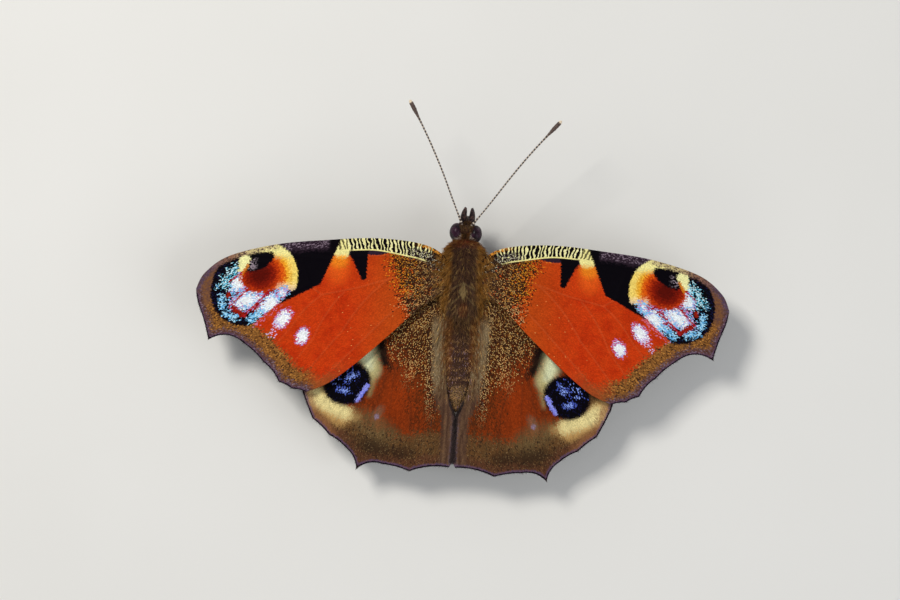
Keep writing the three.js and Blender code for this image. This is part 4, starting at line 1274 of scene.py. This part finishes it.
palp_finish = horn_material("palp scales", paint(28, 17, 23), paint(92, 66, 58), 9.0)
tongue_finish = horn_material("tongue horn", paint(48, 28, 18), paint(96, 62, 38), 5.0, 0.4)
for side, word in ((1, "left"), (-1, "right")):
    path = plan_path(PALP_PATH, HEAD_TURN, HEAD_PIVOT, 8, side)
    share = np.linspace(0, 1, len(path))
    thick = np.interp(share, [0, 0.15, 0.55, 0.8, 0.97, 1], [0.3, 0.38, 0.36, 0.26, 0.13, 0.02])
    palp = add_object("palp_scaled_" + word, tube("palp_scaled_" + word, path, thick, 16, 1.15))
    palp.data.materials.append(palp_finish)
    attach(palp, "root")
    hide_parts("palp_" + word)

turns = np.linspace(0, 1, 320)
coil = TONGUE_WIDEST - TONGUE_NARROWS * turns
angle = math.radians(80) + turns * TONGUE_TURNS * 2 * math.pi
spiral = np.column_stack([0 * turns, coil * np.cos(angle), coil * np.sin(angle)])
path = placed(spiral + TONGUE_CENTRE, HEAD_TURN, HEAD_PIVOT) / MM
thick = (0.155 - 0.09 * turns) * (1 + 0.06 * np.sin(turns * 2 * math.pi * TONGUE_RINGS))
tongue = add_object("tongue_coil", tube("tongue_coil", path, thick, 14, 1.0, (1, 0, 0)))
tongue.data.materials.append(tongue_finish)
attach(tongue, "root")
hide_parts("proboscis")
print("the tongue makes", TONGUE_TURNS, "turns")

# %% [markdown]
# ## Feelers
# A feeler is a chain of some forty short joints, each a little wider at its far end and dusted
# with white scales at its base, so it looks ringed. It ends in a thicker club with a pale tip.
# The tube's radius follows the joints, and the material reads the same share of the length.

# %% Feelers
FEELER_LEFT = [(0.5, -7.2, 6.75), (1.8, -9.6, 7.45), (3.65, -13.1, 8.6), (5.75, -16.6, 9.75),
               (8.1, -20.1, 10.85)]
FEELER_RIGHT = [(-0.5, -7.2, 6.75), (-2.1, -9.7, 7.5), (-4.45, -13.6, 8.75), (-6.35, -16.5, 9.7),
                (-8.9, -20.0, 10.8)]
JOINTS = 40
FEELER_SIDES = 14


def feeler_material():
    s = Shade("feeler horn")
    x, y, z = s.place_mm()
    along = s.attribute("along")
    dice = s.noise(s.vector(x, y, z), 14.0, 1.0)
    joint = s.math("FRACT", along * float(JOINTS))
    ring = s.smooth(joint + (dice - 0.5) * 0.8, 0.45, 0.25) * s.smooth(along, 0.9, 0.8)
    colour = s.mix(ring, paint(58, 44, 40), paint(204, 190, 172))
    club = s.smooth(along, 0.84, 0.87)
    colour = s.mix(club * s.smooth(dice, 0.45, 0.55) * 0.6, colour, paint(120, 100, 90))
    colour = s.mix(s.smooth(along + (dice - 0.5) * 0.02, 0.975, 0.985), colour, paint(226, 208, 180))
    return s.finish(colour, 0.5, dice, 0.02, specular=0.3)


feeler_finish = feeler_material()
for word, knots in (("left", FEELER_LEFT), ("right", FEELER_RIGHT)):
    line = plan_path(knots, HEAD_TURN, HEAD_PIVOT, 30)
    share = np.linspace(0, 1, 440)
    path = along_line(line, share)
    joint = (share * JOINTS) % 1.0
    thick = np.interp(share, [0, 0.01, 0.03, 0.1, 0.8, 0.86, 0.92, 0.97, 0.99, 1],
                      [0.1, 0.15, 0.14, 0.085, 0.1, 0.13, 0.24, 0.24, 0.17, 0.02])
    thick = thick * (0.94 + 0.1 * joint**2)
    feeler = add_object("feeler_" + word, tube("feeler_" + word, path, thick, FEELER_SIDES))
    shares = np.concatenate([np.repeat(share, FEELER_SIDES), [0, 1]])
    add_attribute(feeler.data, "along", shares)
    feeler.data.materials.append(feeler_finish)
    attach(feeler, "root")
    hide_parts("antenna_" + word)

# %% [markdown]
# ## Legs
# The butterfly stands on four legs. The front pair is small, brushy and held against the breast,
# as in all of its family. Each walking leg has a thigh, a shin with two spurs, a foot of five
# joints and a pair of claws. They are tubes whose radius swells and pinches at the joints.

# %% Legs
MIDLEG = [(1.2, -1.6, 5), (2.5, -2, 4.1), (4.4, -2.6, 4.3), (5.4, -2.9, 3), (6.5, -3.4, 1),
          (7.1, -3.7, 0.24), (9, -4.3, 0.2)]
HINDLEG = [(1.1, 1.2, 5), (2.2, 2.6, 4), (3.8, 4.6, 4.1), (4.6, 5.7, 2.9), (5.5, 7.2, 1),
           (6.1, 8, 0.24), (7.3, 9.6, 0.2)]
FORELEG = [(0.85, -3.9, 4.9), (1.15, -4.9, 3.7), (1, -5.6, 3.2), (0.85, -4.9, 2.75), (0.8, -3.6, 2.65)]
WALKING_SHARES = [0, 0.08, 0.3, 0.42, 0.46, 0.6, 0.7, 0.74, 1]
WALKING_RADII = [0.34, 0.3, 0.36, 0.28, 0.22, 0.22, 0.2, 0.15, 0.1]
FORELEG_SHARES = [0, 0.3, 0.6, 0.95, 1]
FORELEG_RADII = [0.24, 0.22, 0.2, 0.14, 0.03]
LEG_SIDES = 14
SHIN_END, FOOT_START = 0.7, 0.74
FOOT_JOINTS = 5
SPINES = 16
leg_finish = horn_material("leg scales", paint(58, 40, 30), paint(128, 98, 70), 8.0)


def joined(name, meshes):
    """Several meshes as one."""
    points, faces, start = [], [], 0
    for mesh in meshes:
        values = np.empty(len(mesh.vertices) * 3)
        mesh.vertices.foreach_get("co", values)
        points.append(values.reshape(-1, 3))
        faces += [tuple(k + start for k in p.vertices) for p in mesh.polygons]
        start += len(mesh.vertices)
    return smooth_mesh(name, np.concatenate(points), faces)


def spine(name, root, tip, thick):
    """A thin pointed spine, slightly bowed downwards."""
    root, tip = np.array(root, float), np.array(tip, float)
    share = np.linspace(0, 1, 6)
    path = root + (tip - root) * share[:, None]
    path[:, 2] += np.sin(share * math.pi) * 0.12 * np.linalg.norm(tip - root)
    return tube(name, path, thick * (1 - share) + 0.008, 6)


def walking_leg(name, knots, side):
    """A leg as one mesh: the jointed tube, two claws, two spurs, and spines down the shin."""
    line = plan_path(knots, 0, 0, 24, side)
    share = np.linspace(0, 1, 240)
    path = along_line(line, share)
    thick = np.interp(share, WALKING_SHARES, WALKING_RADII)
    foot = np.clip((share - FOOT_START) / (1 - FOOT_START), 0, 1)
    thick = thick * np.where(foot > 0, 0.86 + 0.22 * (foot * FOOT_JOINTS % 1.0) ** 2, 1)
    path[:, 2] = np.maximum(path[:, 2], thick * 0.9)
    parts = [tube(name, path, thick, LEG_SIDES)]
    ahead = path[-1] - path[-8]
    ahead /= np.linalg.norm(ahead)
    across = np.array([ahead[1], -ahead[0], 0])
    shin_end = path[int(len(path) * SHIN_END)]
    for sign in (-1, 1):
        claw = path[-3] + ahead * 0.4 + across * sign * 0.14
        claw[2] = 0.03
        parts.append(spine(name, path[-3], claw, 0.045))
        spur = shin_end + ahead * 0.5 + across * sign * 0.28 - np.array([0, 0, 0.35])
        spur[2] = max(spur[2], 0.05)
        parts.append(spine(name, shin_end, spur, 0.06))
    for k in range(SPINES):
        at = 0.45 + 0.5 * k / SPINES
        root = path[int(len(path) * at)]
        sign = 1 if k % 2 else -1
        tip = root + ahead * 0.16 + across * sign * (0.2 + 0.12 * (at < 0.72))
        tip[2] = max(tip[2] - 0.05, 0.03)
        parts.append(spine(name, root, tip, 0.022))
    return joined(name, parts)


for side, word in ((1, "left"), (-1, "right")):
    for pair, knots in (("midleg", MIDLEG), ("hindleg", HINDLEG)):
        name = pair + "_scaled_" + word
        leg = add_object(name, walking_leg(name, knots, side))
        leg.data.materials.append(leg_finish)
        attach(leg, "root")
        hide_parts(pair + "_" + word)
    name = "foreleg_scaled_" + word
    path = plan_path(FORELEG, 0, 0, 14, side)
    share = np.linspace(0, 1, len(path))
    thick = np.interp(share, FORELEG_SHARES, FORELEG_RADII)
    leg = add_object(name, tube(name, path, thick, LEG_SIDES))
    leg.data.materials.append(leg_finish)
    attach(leg, "root")
    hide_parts("foreleg_" + word)
print("legs, feelers, palps and tongue are on")

# %% [markdown]
# ## Hair
# A tuft is a few flat blades that fan out of one root. The tree scatters points by the skin's
# coat attribute, turns each tuft along the flow attribute, and scales it by the hair attribute.
# The root's own place on the skin's unwrap is kept on every blade, so the coat's map has one
# small patch for each tuft.

# %% Tufts
PATCH = 0.003


def tuft(name, blades, width, spread, seed):
    """Blades of unit length along +Z, each thinning to a point."""
    dice = np.random.default_rng(seed)
    points, faces, patch, tip = [], [], [], []
    for k in range(blades):
        bearing = dice.uniform(0, 2 * math.pi)
        lean = dice.uniform(0.2, 1.0) * spread
        length = dice.uniform(0.7, 1.0)
        facing = np.array([math.cos(bearing + 1.2), math.sin(bearing + 1.2), 0])
        away = np.array([math.cos(bearing), math.sin(bearing), 0])
        start = len(points)
        for share, wide in ((0.0, 0.8), (0.35, 1.0), (0.7, 0.7), (1.0, 0.0)):
            centre = away * (lean * share**1.5 + 0.03) + np.array([0, 0, length * share])
            for sign in (-1, 1) if wide else (0,):
                points.append(centre + facing * sign * width * wide / 2)
                patch.append(((k + 0.5 + 0.4 * sign) / blades - 0.5, share - 0.5, 0))
                tip.append(share)
        for row in (0, 2):
            faces.append((start + row, start + row + 1, start + row + 3, start + row + 2))
        faces.append((start + 4, start + 5, start + 6))
    mesh = bpy.data.meshes.new(name)
    mesh.from_pydata(np.array(points).tolist(), [], faces)
    add_attribute(mesh, "patch", np.array(patch))
    add_attribute(mesh, "tip", np.array(tip))
    return bpy.data.objects.new(name, mesh)


def coat_tree():
    tree, given, result = new_tree("coat", [
        ("Geometry", "NodeSocketGeometry"), ("Tuft", "NodeSocketObject"), ("Density", "NodeSocketFloat"),
        ("Seed", "NodeSocketInt"), ("Wobble", "NodeSocketFloat"), ("Finish", "NodeSocketMaterial"),
    ])

    def named(name, kind="FLOAT"):
        made = node_in(tree, "GeometryNodeInputNamedAttribute", {"data_type": kind}, Name=name)
        return made.outputs["Attribute"]

    def stored(geometry, name, kind, value):
        return node_in(tree, "GeometryNodeStoreNamedAttribute", {"data_type": kind, "domain": "POINT"},
                       Geometry=geometry, Name=name, Value=value).outputs[0]

    def combined(kind, operation, a, b):
        made = node_in(tree, kind, {"operation": operation})
        tree.links.new(a, made.inputs[0])
        tree.links.new(b, made.inputs[1])
        return made.outputs[0]

    thinned = combined("ShaderNodeMath", "MULTIPLY", named("coat"), given["Density"])
    scattered = node_in(tree, "GeometryNodeDistributePointsOnFaces", Mesh=given["Geometry"],
                        Density=thinned, Seed=given["Seed"])
    # Each point keeps its place on the unwrap, and a random tone for its tuft's colour.
    kept = stored(scattered.outputs["Points"], "root_uv", "FLOAT_VECTOR", named("OFBake", "FLOAT_VECTOR"))
    tone = node_in(tree, "FunctionNodeRandomValue", {"data_type": "FLOAT"}, Seed=7)
    toned = stored(kept, "tone", "FLOAT", tone.outputs["Value"])
    # The tuft leans along the flow with a random wobble, and is spun about itself.
    stray = node_in(tree, "FunctionNodeRandomValue", {"data_type": "FLOAT_VECTOR"}, Seed=3)
    stray.inputs["Min"].default_value = (-1, -1, -1)
    wobble = node_in(tree, "ShaderNodeVectorMath", {"operation": "SCALE"}, Scale=given["Wobble"])
    tree.links.new(stray.outputs["Value"], wobble.inputs[0])
    flow = combined("ShaderNodeVectorMath", "ADD", named("flow", "FLOAT_VECTOR"), wobble.outputs[0])
    lie = node_in(tree, "FunctionNodeAlignRotationToVector", {"axis": "Z"}, Vector=flow)
    spin_by = node_in(tree, "FunctionNodeRandomValue", {"data_type": "FLOAT"}, Max=2 * math.pi, Seed=5)
    spin = node_in(tree, "FunctionNodeAxisAngleToRotation", Axis=(0, 0, 1), Angle=spin_by.outputs["Value"])
    turn = node_in(tree, "FunctionNodeRotateRotation", {"rotation_space": "LOCAL"},
                   Rotation=lie.outputs[0], Rotate_By=spin.outputs[0])
    length = node_in(tree, "FunctionNodeRandomValue", {"data_type": "FLOAT"}, Min=0.65, Max=1.15, Seed=11)
    scale = combined("ShaderNodeMath", "MULTIPLY", named("hair"), length.outputs["Value"])
    tufts = node_in(tree, "GeometryNodeObjectInfo", Object=given["Tuft"])
    planted = node_in(tree, "GeometryNodeInstanceOnPoints", Points=toned, Rotation=turn.outputs[0],
                      Instance=tufts.outputs["Geometry"], Scale=scale)
    real = node_in(tree, "GeometryNodeRealizeInstances", Geometry=planted.outputs[0])
    done = node_in(tree, "GeometryNodeSetMaterial", Geometry=real.outputs[0], Material=given["Finish"])
    tree.links.new(done.outputs[0], result["Geometry"])
    return tree


COAT = coat_tree()
FUR_TUFT = tuft("fur_tuft", 4, 0.04, 0.35, 1)
SILK_TUFT = tuft("silk_tuft", 3, 0.03, 0.14, 2)
BRISTLE_TUFT = tuft("bristle_tuft", 3, 0.09, 0.3, 3)


def read_triples(source, part, count):
    """Three numbers for each of a mesh's points."""
    values = np.empty(count * 3)
    source.foreach_get(part, values)
    return values.reshape(-1, 3)


def mesh_arrays(mesh):
    """The points of a mesh in frame millimetres, and its normals."""
    count = len(mesh.vertices)
    return read_triples(mesh.vertices, "co", count) / MM, read_triples(mesh.vertices, "normal", count)


def grow_coat(name, carrier, tuft_object, density, seed, finish, coat, flow, hair, wobble, lift):
    """Hair on a carrier, so many tufts to a square millimetre where coat is 1. Coat, flow and
    hair, which is its length, have a value at each of the carrier's points."""
    normals = mesh_arrays(carrier.data)[1]
    flow = flow - normals * np.sum(flow * normals, axis=1, keepdims=True)
    flow /= np.linalg.norm(flow, axis=1, keepdims=True) + 1e-9
    flow = flow + normals * np.reshape(lift, (-1, 1))
    add_attribute(carrier.data, "coat", np.clip(coat, 0, None))
    add_attribute(carrier.data, "flow", flow)
    add_attribute(carrier.data, "hair", hair * MM)
    per_metre = density / MM**2 * 1.0
    mesh = grown(name, carrier, COAT, Tuft=tuft_object, Density=per_metre, Seed=seed, Wobble=wobble,
                 Finish=finish)
    count = len(mesh.vertices)
    root = read_triples(mesh.attributes["root_uv"].data, "vector", count)
    patch = read_triples(mesh.attributes["patch"].data, "vector", count)
    places = root[:, :2] + patch[:, :2] * PATCH
    for used in ("root_uv", "patch", "coat", "flow", "hair", "OFBake"):
        if used in mesh.attributes:
            mesh.attributes.remove(mesh.attributes[used])
    layer = mesh.uv_layers.new(name="OFBake")
    layer.data.foreach_set("uv", places[corner_points(mesh)].astype(np.float32).ravel())
    coat_object = add_object(name, mesh)
    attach(coat_object, "root")
    print(name, "has", sum(len(p.vertices) - 2 for p in mesh.polygons), "triangles")


def ramp(values, low, high):
    """0 at low, 1 at high, straight between, for arrays."""
    return np.clip((values - low) / (high - low), 0, 1)


# %% Body coat
THORAX_HALF = 2.4


def fur_material():
    s = Shade("body fur")
    x, y, _ = s.place_mm()
    tone, tip = s.attribute("tone"), s.attribute("tip")
    colour = body_colour(s, x, y)
    colour = s.mix(tip * 0.25, colour, paint(180, 134, 60))
    colour = s.mix(s.smooth(tone, 0.5, 0.0) * 0.7, colour, paint(34, 18, 14))
    colour = s.mix(s.smooth(tone, 0.82, 1.0) * 0.45, colour, paint(214, 172, 100))
    behind_eyes = s.smooth(abs(y - (-6.0 + PLAN_Y)), 0.5, 0.3) * s.smooth(abs(x), 0.4, 0.6)
    colour = s.mix(behind_eyes * s.smooth(tone, 0.5, 0.6) * 0.85, colour, paint(196, 182, 172))
    # Gold flecks on the rear half of the abdomen, closest together on the hind edge of each ring.
    row = s.math("FRACT", (y - (ABDOMEN_START + PLAN_Y)) * (SEGMENTS / (ABDOMEN_END - ABDOMEN_START)))
    common = s.smooth(row, 0.35, 0.7) * s.smooth(row, 1.0, 0.9) * 0.4
    on_rings = s.smooth(y, 4.5 + PLAN_Y, 7.5 + PLAN_Y) * s.smooth(abs(x), 1.6, 1.2)
    fleck = on_rings * s.smooth(tone + common, 0.84, 0.88)
    fleck_colour = s.mix(s.math("GREATER_THAN", tone, 0.92), paint(216, 164, 104), paint(176, 144, 160))
    colour = s.mix(fleck * 0.8, colour, fleck_colour)
    return s.finish(colour, 0.6, specular=0.2)


fur_finish = fur_material()
skin_points = mesh_arrays(skin_mesh)[0]
px, py = skin_points[:, 0], skin_points[:, 1] - PLAN_Y
outwards = np.sign(px) * np.clip(np.abs(px) / THORAX_HALF, 0, 1)
flow = np.column_stack([outwards * 0.5, np.ones(len(px)), -0.1 - 0.1 * np.abs(outwards)])
on_thorax = ramp(py, -5.9, -5.2) * ramp(py, 3.9, 3.2)
fur_length = 0.75 + 0.55 * ramp(np.abs(px), 0.9, 1.8) + 0.2 * ramp(py, 0, 3)
fur_length = fur_length * (0.6 + 0.4 * ramp(py, -5.6, -4.2))
lift = 0.3 + 0.35 * ramp(py, -3.5, -5.4)
grow_coat("thorax_fur", skin, FUR_TUFT, 62, 11, fur_finish,
          on_thorax, flow, fur_length, 0.28, lift)

on_abdomen = ramp(py, 3.0, 4.0)
belly_length = 0.32 + 0.5 * ramp(py, 6.5, 3.5) + 0.45 * ramp(np.abs(px), 1.0, 1.7)
belly_length = belly_length + 0.4 * ramp(py, 12.0, 13.2)
grow_coat("abdomen_hair", skin, FUR_TUFT, 60, 12, fur_finish,
          on_abdomen, flow, belly_length, 0.22, 0.22)

on_head = ramp(py, -5.3, -5.7)
head_flow = np.column_stack([outwards * 1.6, -0.35 + 0 * px, 0.3 + 0 * px])
behind_eyes = ramp(py, -6.3, -6.0) * ramp(py, -5.5, -5.7)
head_length = 0.42 + 0.12 * ramp(py, -6.6, -7.4) + 0.42 * behind_eyes
grow_coat("head_hair", skin, FUR_TUFT, 150, 13, fur_finish,
          on_head, head_flow, head_length, 0.45, 0.55 + 0.6 * behind_eyes)

# %% [markdown]
# ## Hair on the wings, palps and legs
# Long silky hair lies over the roots of the wings and beside the abdomen, with shorter fur at
# the shoulders and flanks, and near-black hair closes the seam between the hindwings: the hair is
# real, but its darkness is painted shade for the gap. The outer margins carry a fringe of fine hair
# scales. The palps and the small forelegs are bristly, like brushes.
# All of it grows from the same tree as the body's coat, with other tufts, lengths and finishes.

# %% Wing hair
FRINGE_ROWS = 8
FRINGE_LENGTH = 0.3


def silk_material():
    s = Shade("wing silk")
    x, y, _ = s.place_mm()
    tone = s.attribute("tone")
    near = s.smooth(abs(x), 3.5, 3.0) * s.smooth(y, 2.2 + PLAN_Y, 4.6 + PLAN_Y)
    buff = s.mix(s.smooth(abs(x), 1.9, 2.3), paint(112, 64, 30), paint(142, 120, 86))
    colour = s.mix(near, paint(124, 84, 38), buff)
    colour = s.mix(s.smooth(y, 10.0, 13.5), colour, paint(86, 62, 54))
    colour = s.mix(s.smooth(tone, 0.6, 0.1) * 0.75, colour, paint(44, 28, 18))
    colour = s.mix(s.smooth(tone, 0.8, 0.95) * 0.6, colour, paint(228, 178, 92))
    return s.finish(colour, 0.5, specular=0.25)


def fringe_material(name, dark, pale):
    s = Shade(name)
    tone = s.attribute("tone")
    colour = s.mix(s.smooth(tone, 0.2, 0.9), dark, pale)
    return s.finish(colour, 0.6, specular=0.2)


silk_finish = silk_material()
fringe_finish = fringe_material("wing fringe", paint(40, 28, 32), paint(110, 86, 92))
# The seam hair is near black: painted shade for the dark gap between the hindwings.
seam_hair_painted_shade_finish = fringe_material("seam hair", paint(22, 14, 14), paint(64, 48, 46))
for node, sheet in wings.items():
    side = 1 if node.endswith("left") else -1
    mesh = sheet.data
    points = mesh_arrays(mesh)[0]
    count = len(points) // 2
    above = np.arange(len(points)) < count
    row = np.tile(np.repeat(np.arange(ROWS), COLUMNS), 2)
    column = np.tile(np.arange(COLUMNS), 2 * ROWS)
    px, py = points[:, 0] * side, points[:, 1] - PLAN_Y
    level = 0 * px
    if node.startswith("fore"):
        roots = ramp(px + py * 0.12, 6.2, 2.6) ** 1.5 * ramp(py, -4.2, -3.2)
        flow = np.column_stack([side * (0.55 + level), 0.8 + level, level])
        length = 0.9 + 0.5 * ramp(py, -2, 1.5)
        shoulder = ramp(px + np.abs(py + 1.8) * 0.1, 3.9, 2.8)
        grow_coat(node.replace("wing", "wing_shoulder"), sheet, FUR_TUFT, 80, 61 + side, fur_finish,
                  above * shoulder, flow * (0.6, 1, 1), 0.55 + 0.3 * shoulder, 0.25, 0.3)
    else:
        roots = ramp(px, 3.3, 2.2) * ramp(py, 15, 9) + 0.6 * ramp(px + py * 0.55, 8.2, 4.5)
        flow = np.column_stack([side * (0.22 + level), 1 + level, level])
        length = 1.1 - 0.3 * ramp(py, 7, 12)
        flank = ramp(px, 2.6, 2.0) * ramp(py, 12.5, 10.5)
        grow_coat(node.replace("wing", "wing_flank"), sheet, FUR_TUFT, 80, 71 + side, fur_finish,
                  above * flank, flow * (0.3, 1, 1), 0.75 + level, 0.2, 0.3)
        # Near-black hair along the hindwings' inner edges, as painted shade over the seam.
        seam = above * (column >= COLUMNS - 2) * ramp(py, 12.2, 13.2) * ramp(py, 19.5, 19.2)
        inwards = np.column_stack([-side * (0.9 + level), 1 + level, level])
        grow_coat(node.replace("wing", "wing_seam"), sheet, FUR_TUFT, 800, 81 + side, seam_hair_painted_shade_finish,
                  seam, inwards, 0.5 - 0.1 * ramp(py, 12, 18), 0.2, 0.1)
    grow_coat(node.replace("wing", "wing_silk"), sheet, SILK_TUFT, 26, 21 + side, silk_finish,
              above * roots, flow, length, 0.16, 0.1)

    # The fringe points away from the row of points that lies a little inside the margin.
    grid = points[:count].reshape(ROWS, COLUMNS, 3)
    flow = np.zeros((2, ROWS, COLUMNS, 3))
    flow[:, -2:] = grid[-1] - grid[-FRINGE_ROWS]
    flow = flow.reshape(-1, 3)
    flow[:, 2] = 0
    flow[np.linalg.norm(flow, axis=1) < 1e-6] = (side, 0, 0)
    grow_coat(node.replace("wing", "wing_fringe"), sheet, SILK_TUFT, 150, 31 + side, fringe_finish,
              1.0 * (above & (row == ROWS - 1)), flow, FRINGE_LENGTH + level, 0.1, 0.0)

# %% Bristles


def bristle_material(name, dark, pale):
    s = Shade(name)
    tone, tip = s.attribute("tone"), s.attribute("tip")
    colour = s.mix(s.smooth(tone, 0.55, 0.95) * (tip * 0.5 + 0.5), dark, pale)
    return s.finish(colour, 0.5, specular=0.25)


palp_bristle = bristle_material("palp bristles", paint(26, 15, 21), paint(112, 82, 70))
leg_bristle = bristle_material("leg hair", paint(60, 40, 30), paint(134, 104, 74))
for side, word in ((1, "left"), (-1, "right")):
    palp = bpy.data.objects["palp_scaled_" + word]
    points = mesh_arrays(palp.data)[0]
    flow = np.tile((0.35 * side, -1.0, 0.45), (len(points), 1))
    share = ramp(points[:, 1] - PLAN_Y, -9.4, -7.2)
    grow_coat("palp_bristles_" + word, palp, BRISTLE_TUFT, 90, 41, palp_bristle,
              0.4 + 0.6 * share, flow, 0.26 + 0.18 * share, 0.3, 0.55)
    leg = bpy.data.objects["foreleg_scaled_" + word]
    everywhere = np.ones(len(leg.data.vertices))
    flow = np.tile((0.2 * side, 0.3, -1.0), (len(everywhere), 1))
    grow_coat("foreleg_hair_" + word, leg, FUR_TUFT, 60, 42, leg_bristle,
              everywhere, flow, 0.5 * everywhere, 0.4, 0.5)
